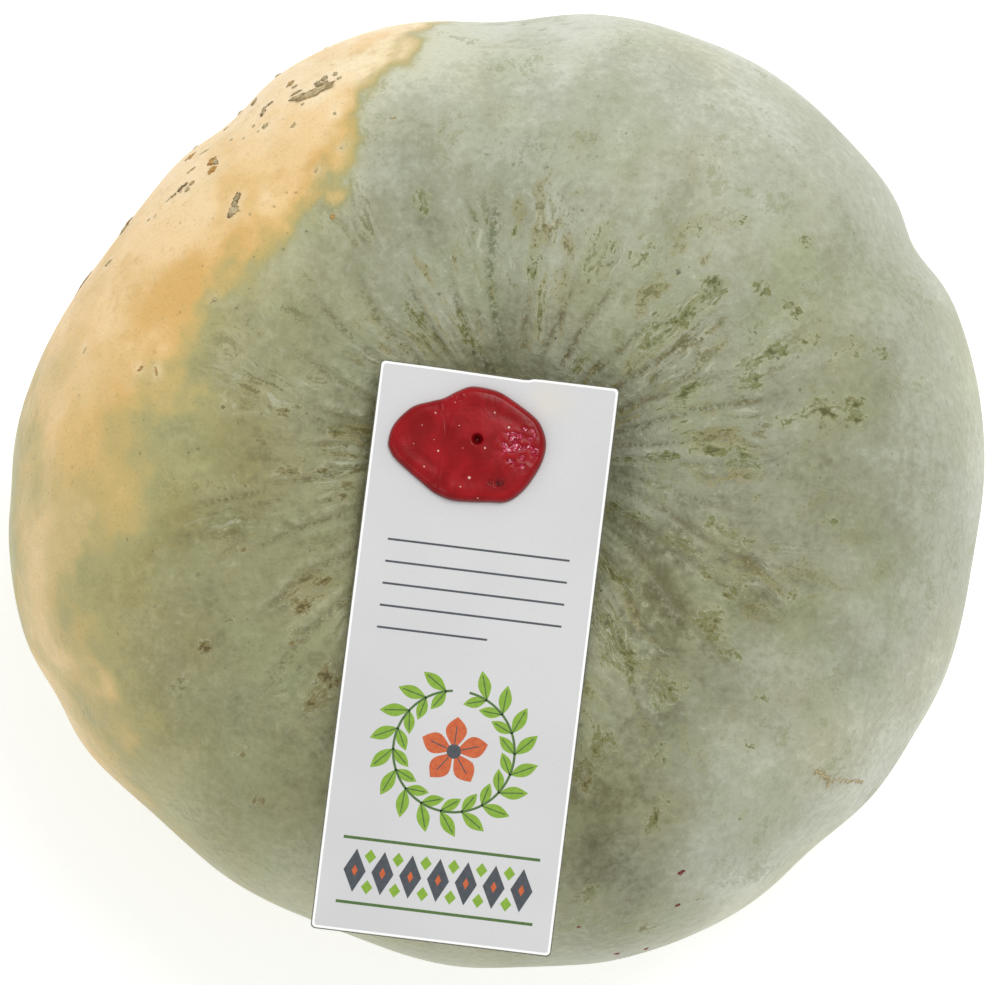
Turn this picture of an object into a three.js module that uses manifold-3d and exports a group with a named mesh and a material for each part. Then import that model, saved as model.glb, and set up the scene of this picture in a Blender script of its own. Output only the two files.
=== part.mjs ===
// A pale green winter squash of the flat, round kind, standing on its blossom end.
// A plain card lies on its cut stem and is held there by a blob of red sealing wax.
// Millimetres, +Z up, with the origin under the middle of the squash, on the surface that it stands on.

import * as THREE from "three";
import { mergeVertices } from "three/addons/utils/BufferGeometryUtils.js";
import Module from "manifold-3d";

const wasm = await Module();
wasm.setup();

// Touching pieces keep this much air between them
const GAP = 0.3;

// The fruit: a flattened globe with a hollow round the stem and a smaller one at the blossom end
const FRUIT_RADIUS = 105.5;
const WIDEST_HEIGHT = 60;
const CROWN_RISE = 66;
const BASE_DROP = 63.5;
const FULLNESS = 2.3;
const STEM_HOLLOW = { depth: 24, radius: 31 };
const BLOSSOM_HOLLOW = { depth: 8, radius: 16 };
const SEAT_RADIUS = 17;
const SEAT_SHARE = SEAT_RADIUS / FRUIT_RADIUS;
const LOBED_FROM_SHARE = 0.5;
// The widest part isn't centred under the stem
const DRIFT = { x: -3.2, y: -1.7 };
const COLUMNS = 96;
const ROWS = 40;

// Slow swells of the outline seen from above: how many round the fruit, how far out, and where one peaks
const SWELLS = [
  { count: 1, size: 1, peak: -23 },
  { count: 2, size: 1.9, peak: 39 },
  { count: 3, size: 0.7, peak: 72.5 },
];

// Furrows that part the lobes, by their angle from +X. A depth below zero is a low ridge.
const FURROWS = [
  { at: 30, depth: 2.6, halfWidth: 4.7 },
  { at: 57.5, depth: -0.8, halfWidth: 8.5 },
  { at: 89.5, depth: 3.4, halfWidth: 9 },
  { at: 126, depth: 2.4, halfWidth: 5.8 },
  { at: 144.5, depth: 3.9, halfWidth: 17.8 },
  { at: 180, depth: 0.6, halfWidth: 4.4 },
  { at: 205.5, depth: 1.6, halfWidth: 5 },
  { at: 224.5, depth: 4.7, halfWidth: 13.7 },
  { at: 249, depth: 4.6, halfWidth: 15.7 },
  { at: 274, depth: 1.4, halfWidth: 7.8 },
  { at: 311.5, depth: 1.9, halfWidth: 7.1 },
  { at: 329, depth: 0.8, halfWidth: 7.8 },
  { at: 350.5, depth: 1.7, halfWidth: 10.2 },
];

// The stem: a cut, corky stump that leans a little towards -X
const STEM_FOOT_RADIUS = SEAT_RADIUS - 1;
const STEM_CUT_RADIUS = 13.5;
const STEM_LEAN = { x: -3, y: 1 };
const STEM_LUMPS = 9;
const STEM_LUMP_SIZE = 0.6;
const STEM_COLUMNS = 54;
const STEM_ROWS = 8;

// The card, in its own axes: across and along from the stem's centre, before it is turned
const CARD = { left: -29.5, right: 20.6, bottom: -100.8, top: 18.2 };
const CARD_THICKNESS = 0.8;
const CARD_CORNER = 1;
const CARD_TURN = -7;
const HOLE = { x: -7.5, y: 4, radius: 3.5 };

// The wax, in the card's axes: two pours, the second over the edge of the first
const FIRST_POUR = [
  [-25.9, 1.5], [-24.3, 6.4], [-19, 10.3], [-13, 11.6], [-8, 9], [-8, -4], [-14.4, -8.2], [-20.2, -4.9],
];
const SECOND_POUR = [
  [-14.2, 3], [-12.9, 13], [-7.9, 14.9], [-1, 12.9], [5, 8.6], [6.7, 3.4], [3.6, -5], [-1.8, -8.8],
  [-8.5, -9.2], [-14.6, -8.1],
];
const FIRST_POUR_HEIGHT = 2.2;
const SECOND_POUR_HEIGHT = 3.1;
const WAX_ROUNDING = 1.1;
const PLUG_RADIUS = HOLE.radius - GAP;
const PIT = { x: -7.5, y: 4, radius: 0.9, depth: 1.2 };

// Corky scabs on the sunny shoulder, by angle from +X and share of the way down the skin.
// Their length runs round the fruit.
const SCABS = [
  { angle: 114.8, down: 0.315, length: 9, width: 3 },
  { angle: 122, down: 0.4, length: 2.6, width: 2 },
  { angle: 122.2, down: 0.351, length: 2.4, width: 1.8 },
  { angle: 131.8, down: 0.337, length: 3, width: 3.2 },
  { angle: 134, down: 0.255, length: 4.6, width: 2 },
  { angle: 144.2, down: 0.425, length: 4.4, width: 3 },
  { angle: 150.5, down: 0.388, length: 2.6, width: 1.4 },
  { angle: 153.2, down: 0.435, length: 5, width: 3 },
];
const SCAB_HEIGHT = 0.7;
const SCAB_ROOT = 0.5;

const degrees = THREE.MathUtils.degToRad;
const smooth = THREE.MathUtils.smoothstep;

// The signed angle between two directions, in degrees
function angleBetween(a, b) {
  return ((((a - b + 180) % 360) + 360) % 360) - 180;
}

function swellAt(angle) {
  return SWELLS.reduce((sum, s) => sum + s.size * Math.cos(degrees(s.count * (angle - s.peak))), 0);
}

function furrowAt(angle) {
  return FURROWS.reduce(
    (sum, f) => sum + f.depth * Math.exp(-((angleBetween(angle, f.at) / f.halfWidth) ** 2)),
    0,
  );
}

// A point of the skin, with down running from 0 at the stem's seat to 1 at the blossom end
function skinPoint(angle, down) {
  const first = Math.asin(SEAT_SHARE ** (FULLNESS / 2));
  const polar = first + (Math.PI - first) * down;
  const share = Math.sin(polar) ** (2 / FULLNESS);
  const up = Math.sign(Math.cos(polar)) * Math.abs(Math.cos(polar)) ** (2 / FULLNESS);
  const lobed = smooth(share, SEAT_SHARE, LOBED_FROM_SHARE);
  const squeeze = 1 - (furrowAt(angle) * lobed) / FRUIT_RADIUS;
  const reach = share * squeeze * (FRUIT_RADIUS + swellAt(angle) * lobed);
  const drift = up > 0 ? lobed : 1;
  const rise = up * squeeze * (up > 0 ? CROWN_RISE : BASE_DROP);
  const hollow =
    up > 0
      ? -STEM_HOLLOW.depth * Math.exp(-((reach / STEM_HOLLOW.radius) ** 2))
      : BLOSSOM_HOLLOW.depth * Math.exp(-((reach / BLOSSOM_HOLLOW.radius) ** 2));
  return new THREE.Vector3(
    DRIFT.x * drift + reach * Math.cos(degrees(angle)),
    DRIFT.y * drift + reach * Math.sin(degrees(angle)),
    Math.max(WIDEST_HEIGHT + rise + hollow, 0),
  );
}

// A closed body from rings of points, lowest or innermost ring first, closed by a point at each end
function bodyFromRings(firstPoint, rings, lastPoint) {
  const columns = rings[0].length;
  const points = [firstPoint, ...rings.flat(), lastPoint];
  const last = points.length - 1;
  const at = (row, column) => 1 + row * columns + (column % columns);
  const faces = [];
  for (let c = 0; c < columns; c++) {
    faces.push(0, at(0, c + 1), at(0, c));
    for (let r = 0; r + 1 < rings.length; r++) {
      faces.push(at(r, c), at(r, c + 1), at(r + 1, c + 1));
      faces.push(at(r, c), at(r + 1, c + 1), at(r + 1, c));
    }
    faces.push(last, at(rings.length - 1, c), at(rings.length - 1, c + 1));
  }
  const geometry = new THREE.BufferGeometry().setFromPoints(points);
  geometry.setIndex(faces);
  return geometry;
}

// A three.js geometry as a solid that can be joined and cut
function solidFrom(geometry) {
  const bare = new THREE.BufferGeometry().setAttribute("position", geometry.getAttribute("position"));
  bare.setIndex(geometry.getIndex());
  const merged = mergeVertices(bare, 1e-4);
  return new wasm.Manifold(
    new wasm.Mesh({
      numProp: 3,
      vertProperties: merged.getAttribute("position").array,
      triVerts: new Uint32Array(merged.getIndex().array),
    }),
  );
}

function geometryFrom(solid) {
  const mesh = solid.getMesh();
  const geometry = new THREE.BufferGeometry();
  geometry.setAttribute("position", new THREE.BufferAttribute(new Float32Array(mesh.vertProperties), 3));
  geometry.setIndex(new THREE.BufferAttribute(new Uint32Array(mesh.triVerts), 1));
  geometry.computeVertexNormals();
  return geometry;
}

function namedMesh(name, geometry, color, roughness) {
  const mesh = new THREE.Mesh(geometry, new THREE.MeshStandardMaterial({ color, roughness, metalness: 0 }));
  mesh.name = name;
  return mesh;
}

// A low oval lump whose root is sunk in the skin
function scabSolid({ angle, down, length, width }) {
  const place = skinPoint(angle, down);
  const along = skinPoint(angle + 1, down).sub(skinPoint(angle - 1, down)).normalize();
  const downhill = skinPoint(angle, down + 0.01).sub(skinPoint(angle, down - 0.01)).normalize();
  const outward = new THREE.Vector3().crossVectors(downhill, along).normalize();
  const across = new THREE.Vector3().crossVectors(outward, along);
  const lump = new THREE.IcosahedronGeometry(1, 1);
  lump.scale(length / 2, width / 2, SCAB_HEIGHT + SCAB_ROOT);
  lump.applyMatrix4(new THREE.Matrix4().makeBasis(along, across, outward));
  lump.translate(...place.addScaledVector(outward, -SCAB_ROOT));
  return solidFrom(lump);
}

// The skin, with rows closer together near the stem and the blossom end
function skinGeometry() {
  const rings = [];
  for (let row = 0; row < ROWS; row++) {
    const even = row / ROWS;
    const down = (even + (1 - Math.cos(Math.PI * even)) / 2) / 2;
    rings.push(Array.from({ length: COLUMNS }, (_, c) => skinPoint((360 * c) / COLUMNS, down)));
  }
  rings.reverse();
  const seatCentre = new THREE.Vector3(0, 0, skinPoint(0, 0).z);
  return bodyFromRings(skinPoint(0, 1), rings, seatCentre);
}

const fruitSolid = SCABS.reduce((body, scab) => body.add(scabSolid(scab)), solidFrom(skinGeometry()));
const fruitShape = geometryFrom(fruitSolid);
fruitShape.computeBoundingBox();

// The highest skin under the card, in the card's turned axes
function crownUnderCard() {
  const turned = fruitShape.clone().rotateZ(-degrees(CARD_TURN)).getAttribute("position");
  const point = new THREE.Vector3();
  let highest = 0;
  for (let i = 0; i < turned.count; i++) {
    point.fromBufferAttribute(turned, i);
    const inside = point.x > CARD.left - 4 && point.x < CARD.right + 4 && point.y < CARD.top + 4;
    if (inside) highest = Math.max(highest, point.z);
  }
  return highest;
}

// The card lies on the crown and the stem is cut to the same height
const seatHeight = skinPoint(0, 0).z;
const cardHeight = crownUnderCard() + GAP;
const stemHeight = cardHeight - GAP - (seatHeight + GAP);

// The stump flares into its foot and has soft lumps along its sides
function stemGeometry() {
  const rings = [];
  for (let row = 0; row <= STEM_ROWS; row++) {
    const up = row / STEM_ROWS;
    const waist = STEM_CUT_RADIUS + (STEM_FOOT_RADIUS - STEM_LUMP_SIZE - STEM_CUT_RADIUS) * (1 - up) ** 2.5;
    rings.push(
      Array.from({ length: STEM_COLUMNS }, (_, c) => {
        const around = (2 * Math.PI * c) / STEM_COLUMNS;
        const radius = waist + STEM_LUMP_SIZE * Math.cos(STEM_LUMPS * around + 1.5 * up);
        return new THREE.Vector3(
          STEM_LEAN.x * up + radius * Math.cos(around),
          STEM_LEAN.y * up + radius * Math.sin(around),
          stemHeight * up,
        );
      }),
    );
  }
  const foot = new THREE.Vector3(0, 0, 0);
  const cut = new THREE.Vector3(STEM_LEAN.x, STEM_LEAN.y, stemHeight);
  return bodyFromRings(foot, rings, cut);
}

// A rectangle with small round corners and the hole that the wax runs through
function cardGeometry() {
  const outline = new THREE.Shape();
  outline.moveTo(CARD.left + CARD_CORNER, CARD.bottom);
  outline.lineTo(CARD.right - CARD_CORNER, CARD.bottom);
  outline.absarc(CARD.right - CARD_CORNER, CARD.bottom + CARD_CORNER, CARD_CORNER, -Math.PI / 2, 0);
  outline.absarc(CARD.right - CARD_CORNER, CARD.top - CARD_CORNER, CARD_CORNER, 0, Math.PI / 2);
  outline.absarc(CARD.left + CARD_CORNER, CARD.top - CARD_CORNER, CARD_CORNER, Math.PI / 2, Math.PI);
  outline.absarc(CARD.left + CARD_CORNER, CARD.bottom + CARD_CORNER, CARD_CORNER, Math.PI, 1.5 * Math.PI);
  outline.holes.push(new THREE.Path().absarc(HOLE.x, HOLE.y, HOLE.radius, 0, 2 * Math.PI, true));
  return new THREE.ExtrudeGeometry(outline, {
    depth: CARD_THICKNESS,
    bevelEnabled: false,
    curveSegments: 6,
  });
}

// One pour of wax: a smooth outline raised to a height with rounded edges
function pourGeometry(points, height) {
  const curve = new THREE.CatmullRomCurve3(
    points.map(([x, y]) => new THREE.Vector3(x, y, 0)),
    true,
  );
  const outline = new THREE.Shape(
    curve.getPoints(44).slice(0, -1).map((p) => new THREE.Vector2(p.x, p.y)),
  );
  const pour = new THREE.ExtrudeGeometry(outline, {
    depth: height - WAX_ROUNDING,
    bevelThickness: WAX_ROUNDING,
    bevelSize: WAX_ROUNDING,
    bevelOffset: -WAX_ROUNDING,
    bevelSegments: 3,
  });
  return solidFrom(pour);
}

function cylinderSolid(radius, bottom, top, x, y) {
  const cylinder = new THREE.CylinderGeometry(radius, radius, top - bottom, 20);
  cylinder.rotateX(Math.PI / 2);
  cylinder.translate(x, y, (top + bottom) / 2);
  return solidFrom(cylinder);
}

// Both pours, cut flat where they lie on the card, with the plug that fills the hole down to the stem
function waxGeometry() {
  const slab = new THREE.BoxGeometry(200, 200, 20);
  slab.translate(0, 0, -10);
  const plug = cylinderSolid(PLUG_RADIUS, -CARD_THICKNESS - GAP, 1, HOLE.x, HOLE.y);
  const pit = cylinderSolid(PIT.radius, SECOND_POUR_HEIGHT - PIT.depth, SECOND_POUR_HEIGHT + 1, PIT.x, PIT.y);
  const wax = pourGeometry(FIRST_POUR, FIRST_POUR_HEIGHT)
    .add(pourGeometry(SECOND_POUR, SECOND_POUR_HEIGHT))
    .subtract(solidFrom(slab))
    .add(plug)
    .subtract(pit);
  return geometryFrom(wax);
}

const fruit = namedMesh("fruit", fruitShape, 0x9ca088, 0.55);

const stem = namedMesh("stem", stemGeometry(), 0xa08a5c, 0.9);
stem.position.z = seatHeight + GAP;

const card = namedMesh("card", cardGeometry(), 0xdcdcdc, 0.5);

const wax = namedMesh("wax_seal", waxGeometry(), 0xa01f28, 0.3);
wax.position.z = CARD_THICKNESS + GAP;

const label = new THREE.Group();
label.add(card, wax);
label.rotation.z = degrees(CARD_TURN);
label.position.z = cardHeight;

const squash = new THREE.Group();
squash.add(fruit, stem, label);
const middle = fruitShape.boundingBox.getCenter(new THREE.Vector3());
squash.position.set(-middle.x, -middle.y, 0);

export default squash;
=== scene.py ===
# A pale green winter squash that stands on its blossom end, with a card on its cut stem, held by red wax.
# The fruit, stem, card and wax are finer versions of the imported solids, from the same formulas and sizes.
# Lengths are millimetres until the last step of each mesh. Angles round the fruit are degrees from +X.
import math

import bmesh
import bpy
import numpy as np
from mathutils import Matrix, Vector, noise
from mathutils.geometry import tessellate_polygon


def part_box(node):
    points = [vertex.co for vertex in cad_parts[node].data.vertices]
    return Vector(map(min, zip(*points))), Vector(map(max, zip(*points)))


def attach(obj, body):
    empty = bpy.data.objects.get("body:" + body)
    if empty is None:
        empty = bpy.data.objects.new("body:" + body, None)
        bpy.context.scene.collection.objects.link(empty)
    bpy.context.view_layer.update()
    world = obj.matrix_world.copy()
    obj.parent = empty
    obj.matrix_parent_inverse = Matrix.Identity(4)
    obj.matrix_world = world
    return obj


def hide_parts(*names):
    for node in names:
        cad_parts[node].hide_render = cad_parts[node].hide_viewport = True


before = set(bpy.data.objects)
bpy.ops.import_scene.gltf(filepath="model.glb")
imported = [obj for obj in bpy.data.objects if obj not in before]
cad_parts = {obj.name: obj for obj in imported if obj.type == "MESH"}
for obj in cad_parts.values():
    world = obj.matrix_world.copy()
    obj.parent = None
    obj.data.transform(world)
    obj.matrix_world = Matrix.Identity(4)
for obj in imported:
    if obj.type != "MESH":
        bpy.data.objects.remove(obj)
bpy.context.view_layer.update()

MM = 0.001
SEED = 7

# Where the stem stands, from the middle of the squash
STEM_AT = np.array([2.933, 1.587])

# The fruit, as in the solids
FRUIT_RADIUS = 105.5
WIDEST_HEIGHT = 60.0
CROWN_RISE = 66.0
BASE_DROP = 63.5
FULLNESS = 2.3
STEM_HOLLOW_DEPTH = 24.0
STEM_HOLLOW_RADIUS = 31.0
BLOSSOM_HOLLOW_DEPTH = 8.0
BLOSSOM_HOLLOW_RADIUS = 16.0
SEAT_RADIUS = 17.0
SEAT_SHARE = SEAT_RADIUS / FRUIT_RADIUS
LOBED_FROM_SHARE = 0.5
DRIFT = (-3.2, -1.7)
# How many round the fruit, how far out, and where one peaks
SWELLS = [(1, 1, -23), (2, 1.9, 39), (3, 0.7, 72.5)]
# Angle, depth and half width of each furrow
FURROWS = [
    (30, 2.6, 4.7), (57.5, -0.8, 8.5), (89.5, 3.4, 9), (126, 2.4, 5.8), (144.5, 3.9, 17.8), (180, 0.6, 4.4),
    (205.5, 1.6, 5), (224.5, 4.7, 13.7), (249, 4.6, 15.7), (274, 1.4, 7.8), (311.5, 1.9, 7.1),
    (329, 0.8, 7.8), (350.5, 1.7, 10.2),
]
FRUIT_COLUMNS = 432
FRUIT_ROWS = 216
# The fine skin stays this far inside the solid's faces
SKIN_INSET = 0.12
WRINKLE_DEPTH = 0.19
FINE_WRINKLE_DEPTH = 0.11
DENT_DEPTH = 0.16
RIPPLE_DEPTH = 0.05
CRACK_DEPTH = 0.22

# The card in its own axes, as in the solids
CARD_LEFT = -29.5
CARD_RIGHT = 20.6
CARD_BOTTOM = -100.8
CARD_TOP = 18.2
CARD_CORNER = 1.0
CARD_TURN = -7.0
CARD_EDGE_ROUNDING = 0.22
# How far in the painted shadow line along the card's edge reaches; a painted highlight band lies just inside
# it
CARD_SHADE_LINE = 0.22
HOLE_AT = (-7.5, 4)
HOLE_RADIUS = 3.5

# The wax outline and what marks its surface, in the card's axes
WAX_OUTLINE = [
    (-25.9, 1.3), (-25.1, 5.1), (-21.9, 9), (-18.1, 10.7), (-15.5, 11.7), (-13, 13.4), (-10.5, 14.7),
    (-7.9, 14.9), (-4.3, 14.4), (-1, 12.9), (3.1, 10.5), (5.2, 8.6), (6.7, 5.3), (6.6, 1.5), (5, -2.7),
    (2.7, -6.2), (0, -8.3), (-3.7, -8.8), (-7.6, -9.2), (-11.3, -9.3), (-14.9, -8.3), (-17.8, -6.5),
    (-20.8, -4.5), (-23.7, -2.4), (-25.2, -0.7),
]
WAX_MIDDLE = (-9.2, 2.4)
WAX_EDGE_RADIUS = 1.5
FIRST_POUR_HEIGHT = 1.8
SECOND_POUR_HEIGHT = 2.3
# The edge of the second pour, as x by y
POUR_EDGE = [(-9, -14.9), (-7.9, -14.8), (-2.8, -14.3), (2.3, -14.2), (6.5, -15), (11.5, -16.1)]
POUR_LIP = [(-9, -14.6), (-2.8, -14.1), (0.9, -13.7), (5.2, -13.5), (9.7, -12.9), (12.4, -11.8)]
PITS = [
    (-7.5, 3.9, 0.95, 1.9), (-12.1, 12.1, 0.5, 0.5), (-3.6, -4.6, 0.55, 0.35), (-2.4, -4.9, 0.6, 0.4),
    (-1.4, -4.5, 0.45, 0.3),
]
# White chips caught in it: x, y and size
WAX_CHIPS = [
    (-16.8, 8.3, 0.26), (-15.3, 0.5, 0.26), (-17.8, -3.1, 0.22), (-16.4, 2.7, 0.16), (-8.2, -4.3, 0.36),
    (-9.8, -6.4, 0.22), (-6, -8.3, 0.22), (-4.6, 9.8, 0.22), (-13, 10.9, 0.18), (-19.3, 5.4, 0.18),
    (-5.7, 2.2, 0.26), (-1.3, 7.1, 0.3), (-20.5, 1.4, 0.16), (-11.6, 6.2, 0.16),
]
TORN_AT = (1.5, 3.4)
TORN_SIZE = (4, 4.8)
BUBBLES_AT = (-2.4, -4.7)
WAX_CROWN = 0.6
WAX_HIGHEST = 3.3
WAX_FOOT = 0.02

# The stem: its radius at the waist, how far its foot spreads, its ridges, and how far its cut end leans
STEM_COLUMNS = 160
STEM_ROWS = 26
STEM_WAIST = 13.2
STEM_SPREAD = 2.1
STEM_RIDGES = 9
STEM_RIDGE_HEIGHT = 0.55
STEM_LEAN = (-3, 1)

# The skin is dark and olive in the hollow and pale further out, by angle: how far down it is still dark,
# and where it is first pale. The dark is partly the skin's own olive and partly painted shade, deepest in
# the hollow under the card and on the -Y side
DARK_TO = [
    (0, 0), (12, -50), (35, -25), (58, -30), (75, -20), (88, 3), (100, 10), (122, 0), (145, 0), (165, -5),
    (188, -8), (205, -12), (235, 0), (262, 0), (285, 5), (298, 30), (320, 42), (336, 34), (348, 14), (360, 0),
]
PALE_FROM = [
    (0, 110), (12, 98), (24, 114), (38, 126), (47, 122), (58, 84), (66, 90), (80, 70), (95, 76), (105, 68),
    (122, 56), (145, 54), (162, 80), (186, 84), (200, 110), (214, 112), (235, 114), (262, 140), (285, 140),
    (298, 92), (320, 86), (335, 96), (350, 112), (360, 108),
]
# How far the green leans to yellow, by angle
WARMTH = [
    (0, 0), (85, 0), (112, 0.25), (150, 0.5), (180, 0.75), (215, 1), (250, 0.65), (300, 0.3),
    (335, 0.2), (360, 0),
]

# The sunny shoulder: its inner and lower edges in millimetres down the skin, and its strength, all by angle
RIPE_INNER = [
    (86, 140), (92, 126), (97, 104), (100, 88), (105, 80), (109, 77), (112, 69), (115, 62), (119, 58),
    (124, 53), (130, 49), (137, 54), (142, 54), (148, 57), (153, 57), (158, 59), (163, 56), (170, 54),
    (178, 53), (186, 58), (196, 74), (206, 78), (216, 86), (226, 98), (240, 112), (252, 140),
]
RIPE_OUTER = [
    (86, 140), (98, 160), (110, 174), (122, 178), (134, 170), (144, 154), (154, 136), (162, 122), (170, 114),
    (180, 116), (190, 130), (202, 148), (252, 140),
]
RIPE_STRENGTH = [
    (86, 0.6), (96, 0.85), (104, 1), (150, 1), (158, 0.94), (166, 0.74), (178, 0.62), (190, 0.56),
    (200, 0.64), (216, 0.64), (228, 0.36), (250, 0),
]
# How much of its lower part is cream, by angle
CREAM_SHARE = [
    (98, 1.4), (108, 1.4), (118, 0.7), (136, 0.5), (146, 0.1), (160, 0.2), (174, 0.4), (186, 0.6),
    (250, 0.55),
]
# Deeper orange in it: angle, millimetres down, half width in degrees, half length in millimetres, strength
RIPE_DEPTHS = [
    (120, 64, 6, 9, 0.9), (112, 76, 4, 9, 0.5), (109, 92, 3, 6, 0.5), (136, 62, 6, 8, 0.8),
    (147, 67, 6, 8, 1), (155, 72, 7, 10, 1.2), (150, 84, 5, 7, 0.8), (166, 74, 5, 9, 0.7),
    (176, 78, 5, 9, 0.6), (205, 92, 8, 9, 0.7), (131, 82, 5, 7, 0.3),
]

# Darker olive skin, or paler below 0: angle, millimetres down, half width in degrees, half length, strength.
# The rows at 262, 287 and 312 degrees are painted shade: the card's shadow on the skin beside its right edge
OLIVE_AND_SHADE_PATCHES = [
    (345, 16, 26, 18, 0.35), (205, 50, 13, 15, 0.8), (202, 68, 8, 10, 0.45), (225, 48, 14, 14, 1.05),
    (225, 77, 10, 10, 0.35), (240, 78, 10, 14, 0.35), (287, 64, 8, 23, 1.7), (312, 24, 18, 16, 1.2),
    (34, 66, 13, 14, 0.2), (23, 84, 6, 8, 0.3), (1, 84, 5, 8, 0.45), (354, 74, 7, 10, 0.15),
    (262, 60, 24, 40, 0.3), (91, 20, 7, 14, 0.8), (98, 90, 9, 20, -0.6), (70, 72, 6, 10, -0.15),
    (64, 90, 4, 8, 0.25), (181, 21, 8, 10, -0.9), (207, 22, 8, 8, -0.6), (358, 8, 10, 6, -0.5),
]
# Greener tints, as above
GREEN_TINTS = [
    (36, 62, 6, 11, 0.9), (28, 48, 8, 10, 0.6), (66, 31, 4, 9, 0.8), (52, 38, 5, 12, 0.6),
    (81, 28, 3, 8, 0.6), (11, 60, 6, 8, 0.6), (41, 30, 5, 10, 0.5), (331, 36, 4, 8, 0.5),
    (290, 44, 5, 9, 0.5), (282, 84, 5, 8, 0.5),
]
# Rubbed places with a ragged edge: angle, millimetres down, half width round the fruit, half length, strength
SCUFFS = [
    (22, 23, 1.7, 5, 1), (6, 26, 1, 3, 1), (4, 13, 0.8, 5, 0.9), (4, 33, 1.6, 3.2, 0.7),
    (9, 23, 2.4, 3, 0.45), (19, 38, 1.6, 2.6, 0.8), (338, 24, 1.6, 3.4, 0.7), (345, 31, 1.6, 2.2, 0.7),
    (344, 36, 1.6, 2.6, 0.6), (340, 11, 0.8, 4.6, 0.8), (40, 41, 2, 2.6, 1), (35, 51, 1.2, 2.4, 0.9),
    (29, 54, 1.5, 1.6, 1), (24, 46, 1.9, 3, 0.8), (23, 40, 1.5, 2.8, 1), (20, 39, 1, 2.4, 0.9),
    (23, 54, 1.5, 2.2, 0.7), (19, 62, 2.6, 3.6, 0.6), (11, 52, 1.9, 5.5, 0.9), (10, 61, 2.2, 2.6, 1),
    (18, 71, 1.2, 1.3, 0.9), (51, 50, 1.2, 2.8, 0.8), (46, 58, 1.3, 2.2, 0.7), (40, 35, 1.6, 2, 0.8),
    (37, 66, 0.9, 2.4, 1), (304, 29, 2.3, 5.6, 1), (325, 38, 1.9, 3.6, 0.9), (322, 46, 1.2, 1.8, 0.9),
    (308, 43, 2.2, 2.6, 0.8), (317, 18, 1.5, 5.5, 0.9), (291, 40, 1.2, 2.2, 0.8), (291, 47, 2.4, 3, 0.6),
    (287, 53, 2.2, 4.2, 0.8), (295, 68, 3, 3, 0.7), (300, 55, 2, 2.6, 0.5), (334, 39, 2.4, 2.4, 0.8),
    (334, 32, 1.5, 1.5, 0.9), (304, 75, 0.7, 0.8, 1), (306, 78, 0.7, 0.8, 1), (283, 83, 2.6, 3, 0.8),
    (313, 64, 1.4, 1.4, 0.6), (180, 32, 1.1, 2.2, 1), (187, 19, 1, 1.2, 1), (191, 21, 0.9, 1.2, 0.9),
    (181, 25, 0.6, 1.2, 1), (168, 22, 1, 1.7, 1), (173, 37, 0.7, 0.7, 0.9), (212, 30, 1.2, 2, 1),
    (105, 44, 1.5, 2.2, 0.8), (86, 34, 0.9, 1.2, 0.8), (81, 27, 1.4, 2.4, 0.8), (66, 31, 2.4, 5, 0.6),
    (62, 36, 1, 1.8, 1), (56, 36, 1.3, 2.6, 0.8), (40, 29, 1.8, 6, 1), (106, 14, 1.4, 3.4, 0.9),
    (77, 18, 0.9, 4, 0.9), (120, 19, 1.3, 4, 0.7), (74, 45, 0.7, 0.8, 1), (57, 8, 1, 2.6, 0.7),
    (164, 34, 1.2, 1.6, 1), (162, 31, 0.7, 0.9, 1), (213, 38, 2.2, 2.6, 0.8), (211, 60, 1.6, 1.5, 1),
    (209, 53, 0.8, 0.9, 0.9), (214, 70, 1.4, 2.4, 0.7), (231, 46, 2, 3.2, 1), (227, 68, 1.4, 1.8, 0.8),
    (210, 101, 0.7, 0.8, 0.8), (174, 95, 0.6, 0.8, 0.8), (196, 44, 1, 1.4, 0.6), (220, 42, 1.8, 2.2, 0.6),
    (234, 76, 2, 2, 0.6), (288, 99, 2.4, 2.4, 0.6), (320, 58, 1.8, 1.8, 0.4), (337, 53, 2, 2.4, 0.4),
    (352, 54, 2, 2.2, 0.45), (296, 95, 1.6, 1.6, 0.5),
]
# Raised wrinkles of the rind: angle and millimetres down at each end, half width, height before FOLD_SHARE
FOLDS = [
    (178.5, 14, 182.5, 40, 0.7, 0.85), (182.5, 36, 186, 56, 0.9, 0.3), (170, 12, 171.5, 30, 0.7, 0.3),
    (192, 16, 197, 44, 0.9, 0.26), (205, 20, 210, 50, 1.1, 0.28), (216, 22, 222, 58, 1.2, 0.28),
    (229, 20, 232, 50, 1.1, 0.24), (160, 14, 158, 34, 0.8, 0.28), (150, 12, 147, 40, 0.9, 0.3),
    (138, 10, 133, 44, 1, 0.32), (128, 10, 122, 40, 1, 0.28), (116, 10, 112, 34, 0.9, 0.28),
    (104, 8, 101, 30, 0.8, 0.26), (80, 6, 78, 26, 0.8, 0.26), (70, 6, 66, 30, 0.8, 0.3),
    (60, 6, 54, 34, 0.9, 0.3), (46, 6, 40, 34, 0.8, 0.32), (34, 6, 30, 42, 0.8, 0.34),
    (24, 5, 21, 40, 0.7, 0.34), (15, 5, 13.5, 46, 0.8, 0.36), (7, 5, 7.5, 36, 0.6, 0.3),
    (0, 5, 0.5, 34, 0.7, 0.26), (352, 6, 349, 36, 0.7, 0.3), (344, 7, 338, 44, 0.9, 0.32),
    (335, 8, 330, 48, 0.9, 0.32), (324, 10, 319, 50, 1, 0.34), (314, 12, 309, 46, 0.9, 0.26),
    (303, 14, 299, 50, 1, 0.24),
]
FOLD_SHARE = 0.62

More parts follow.
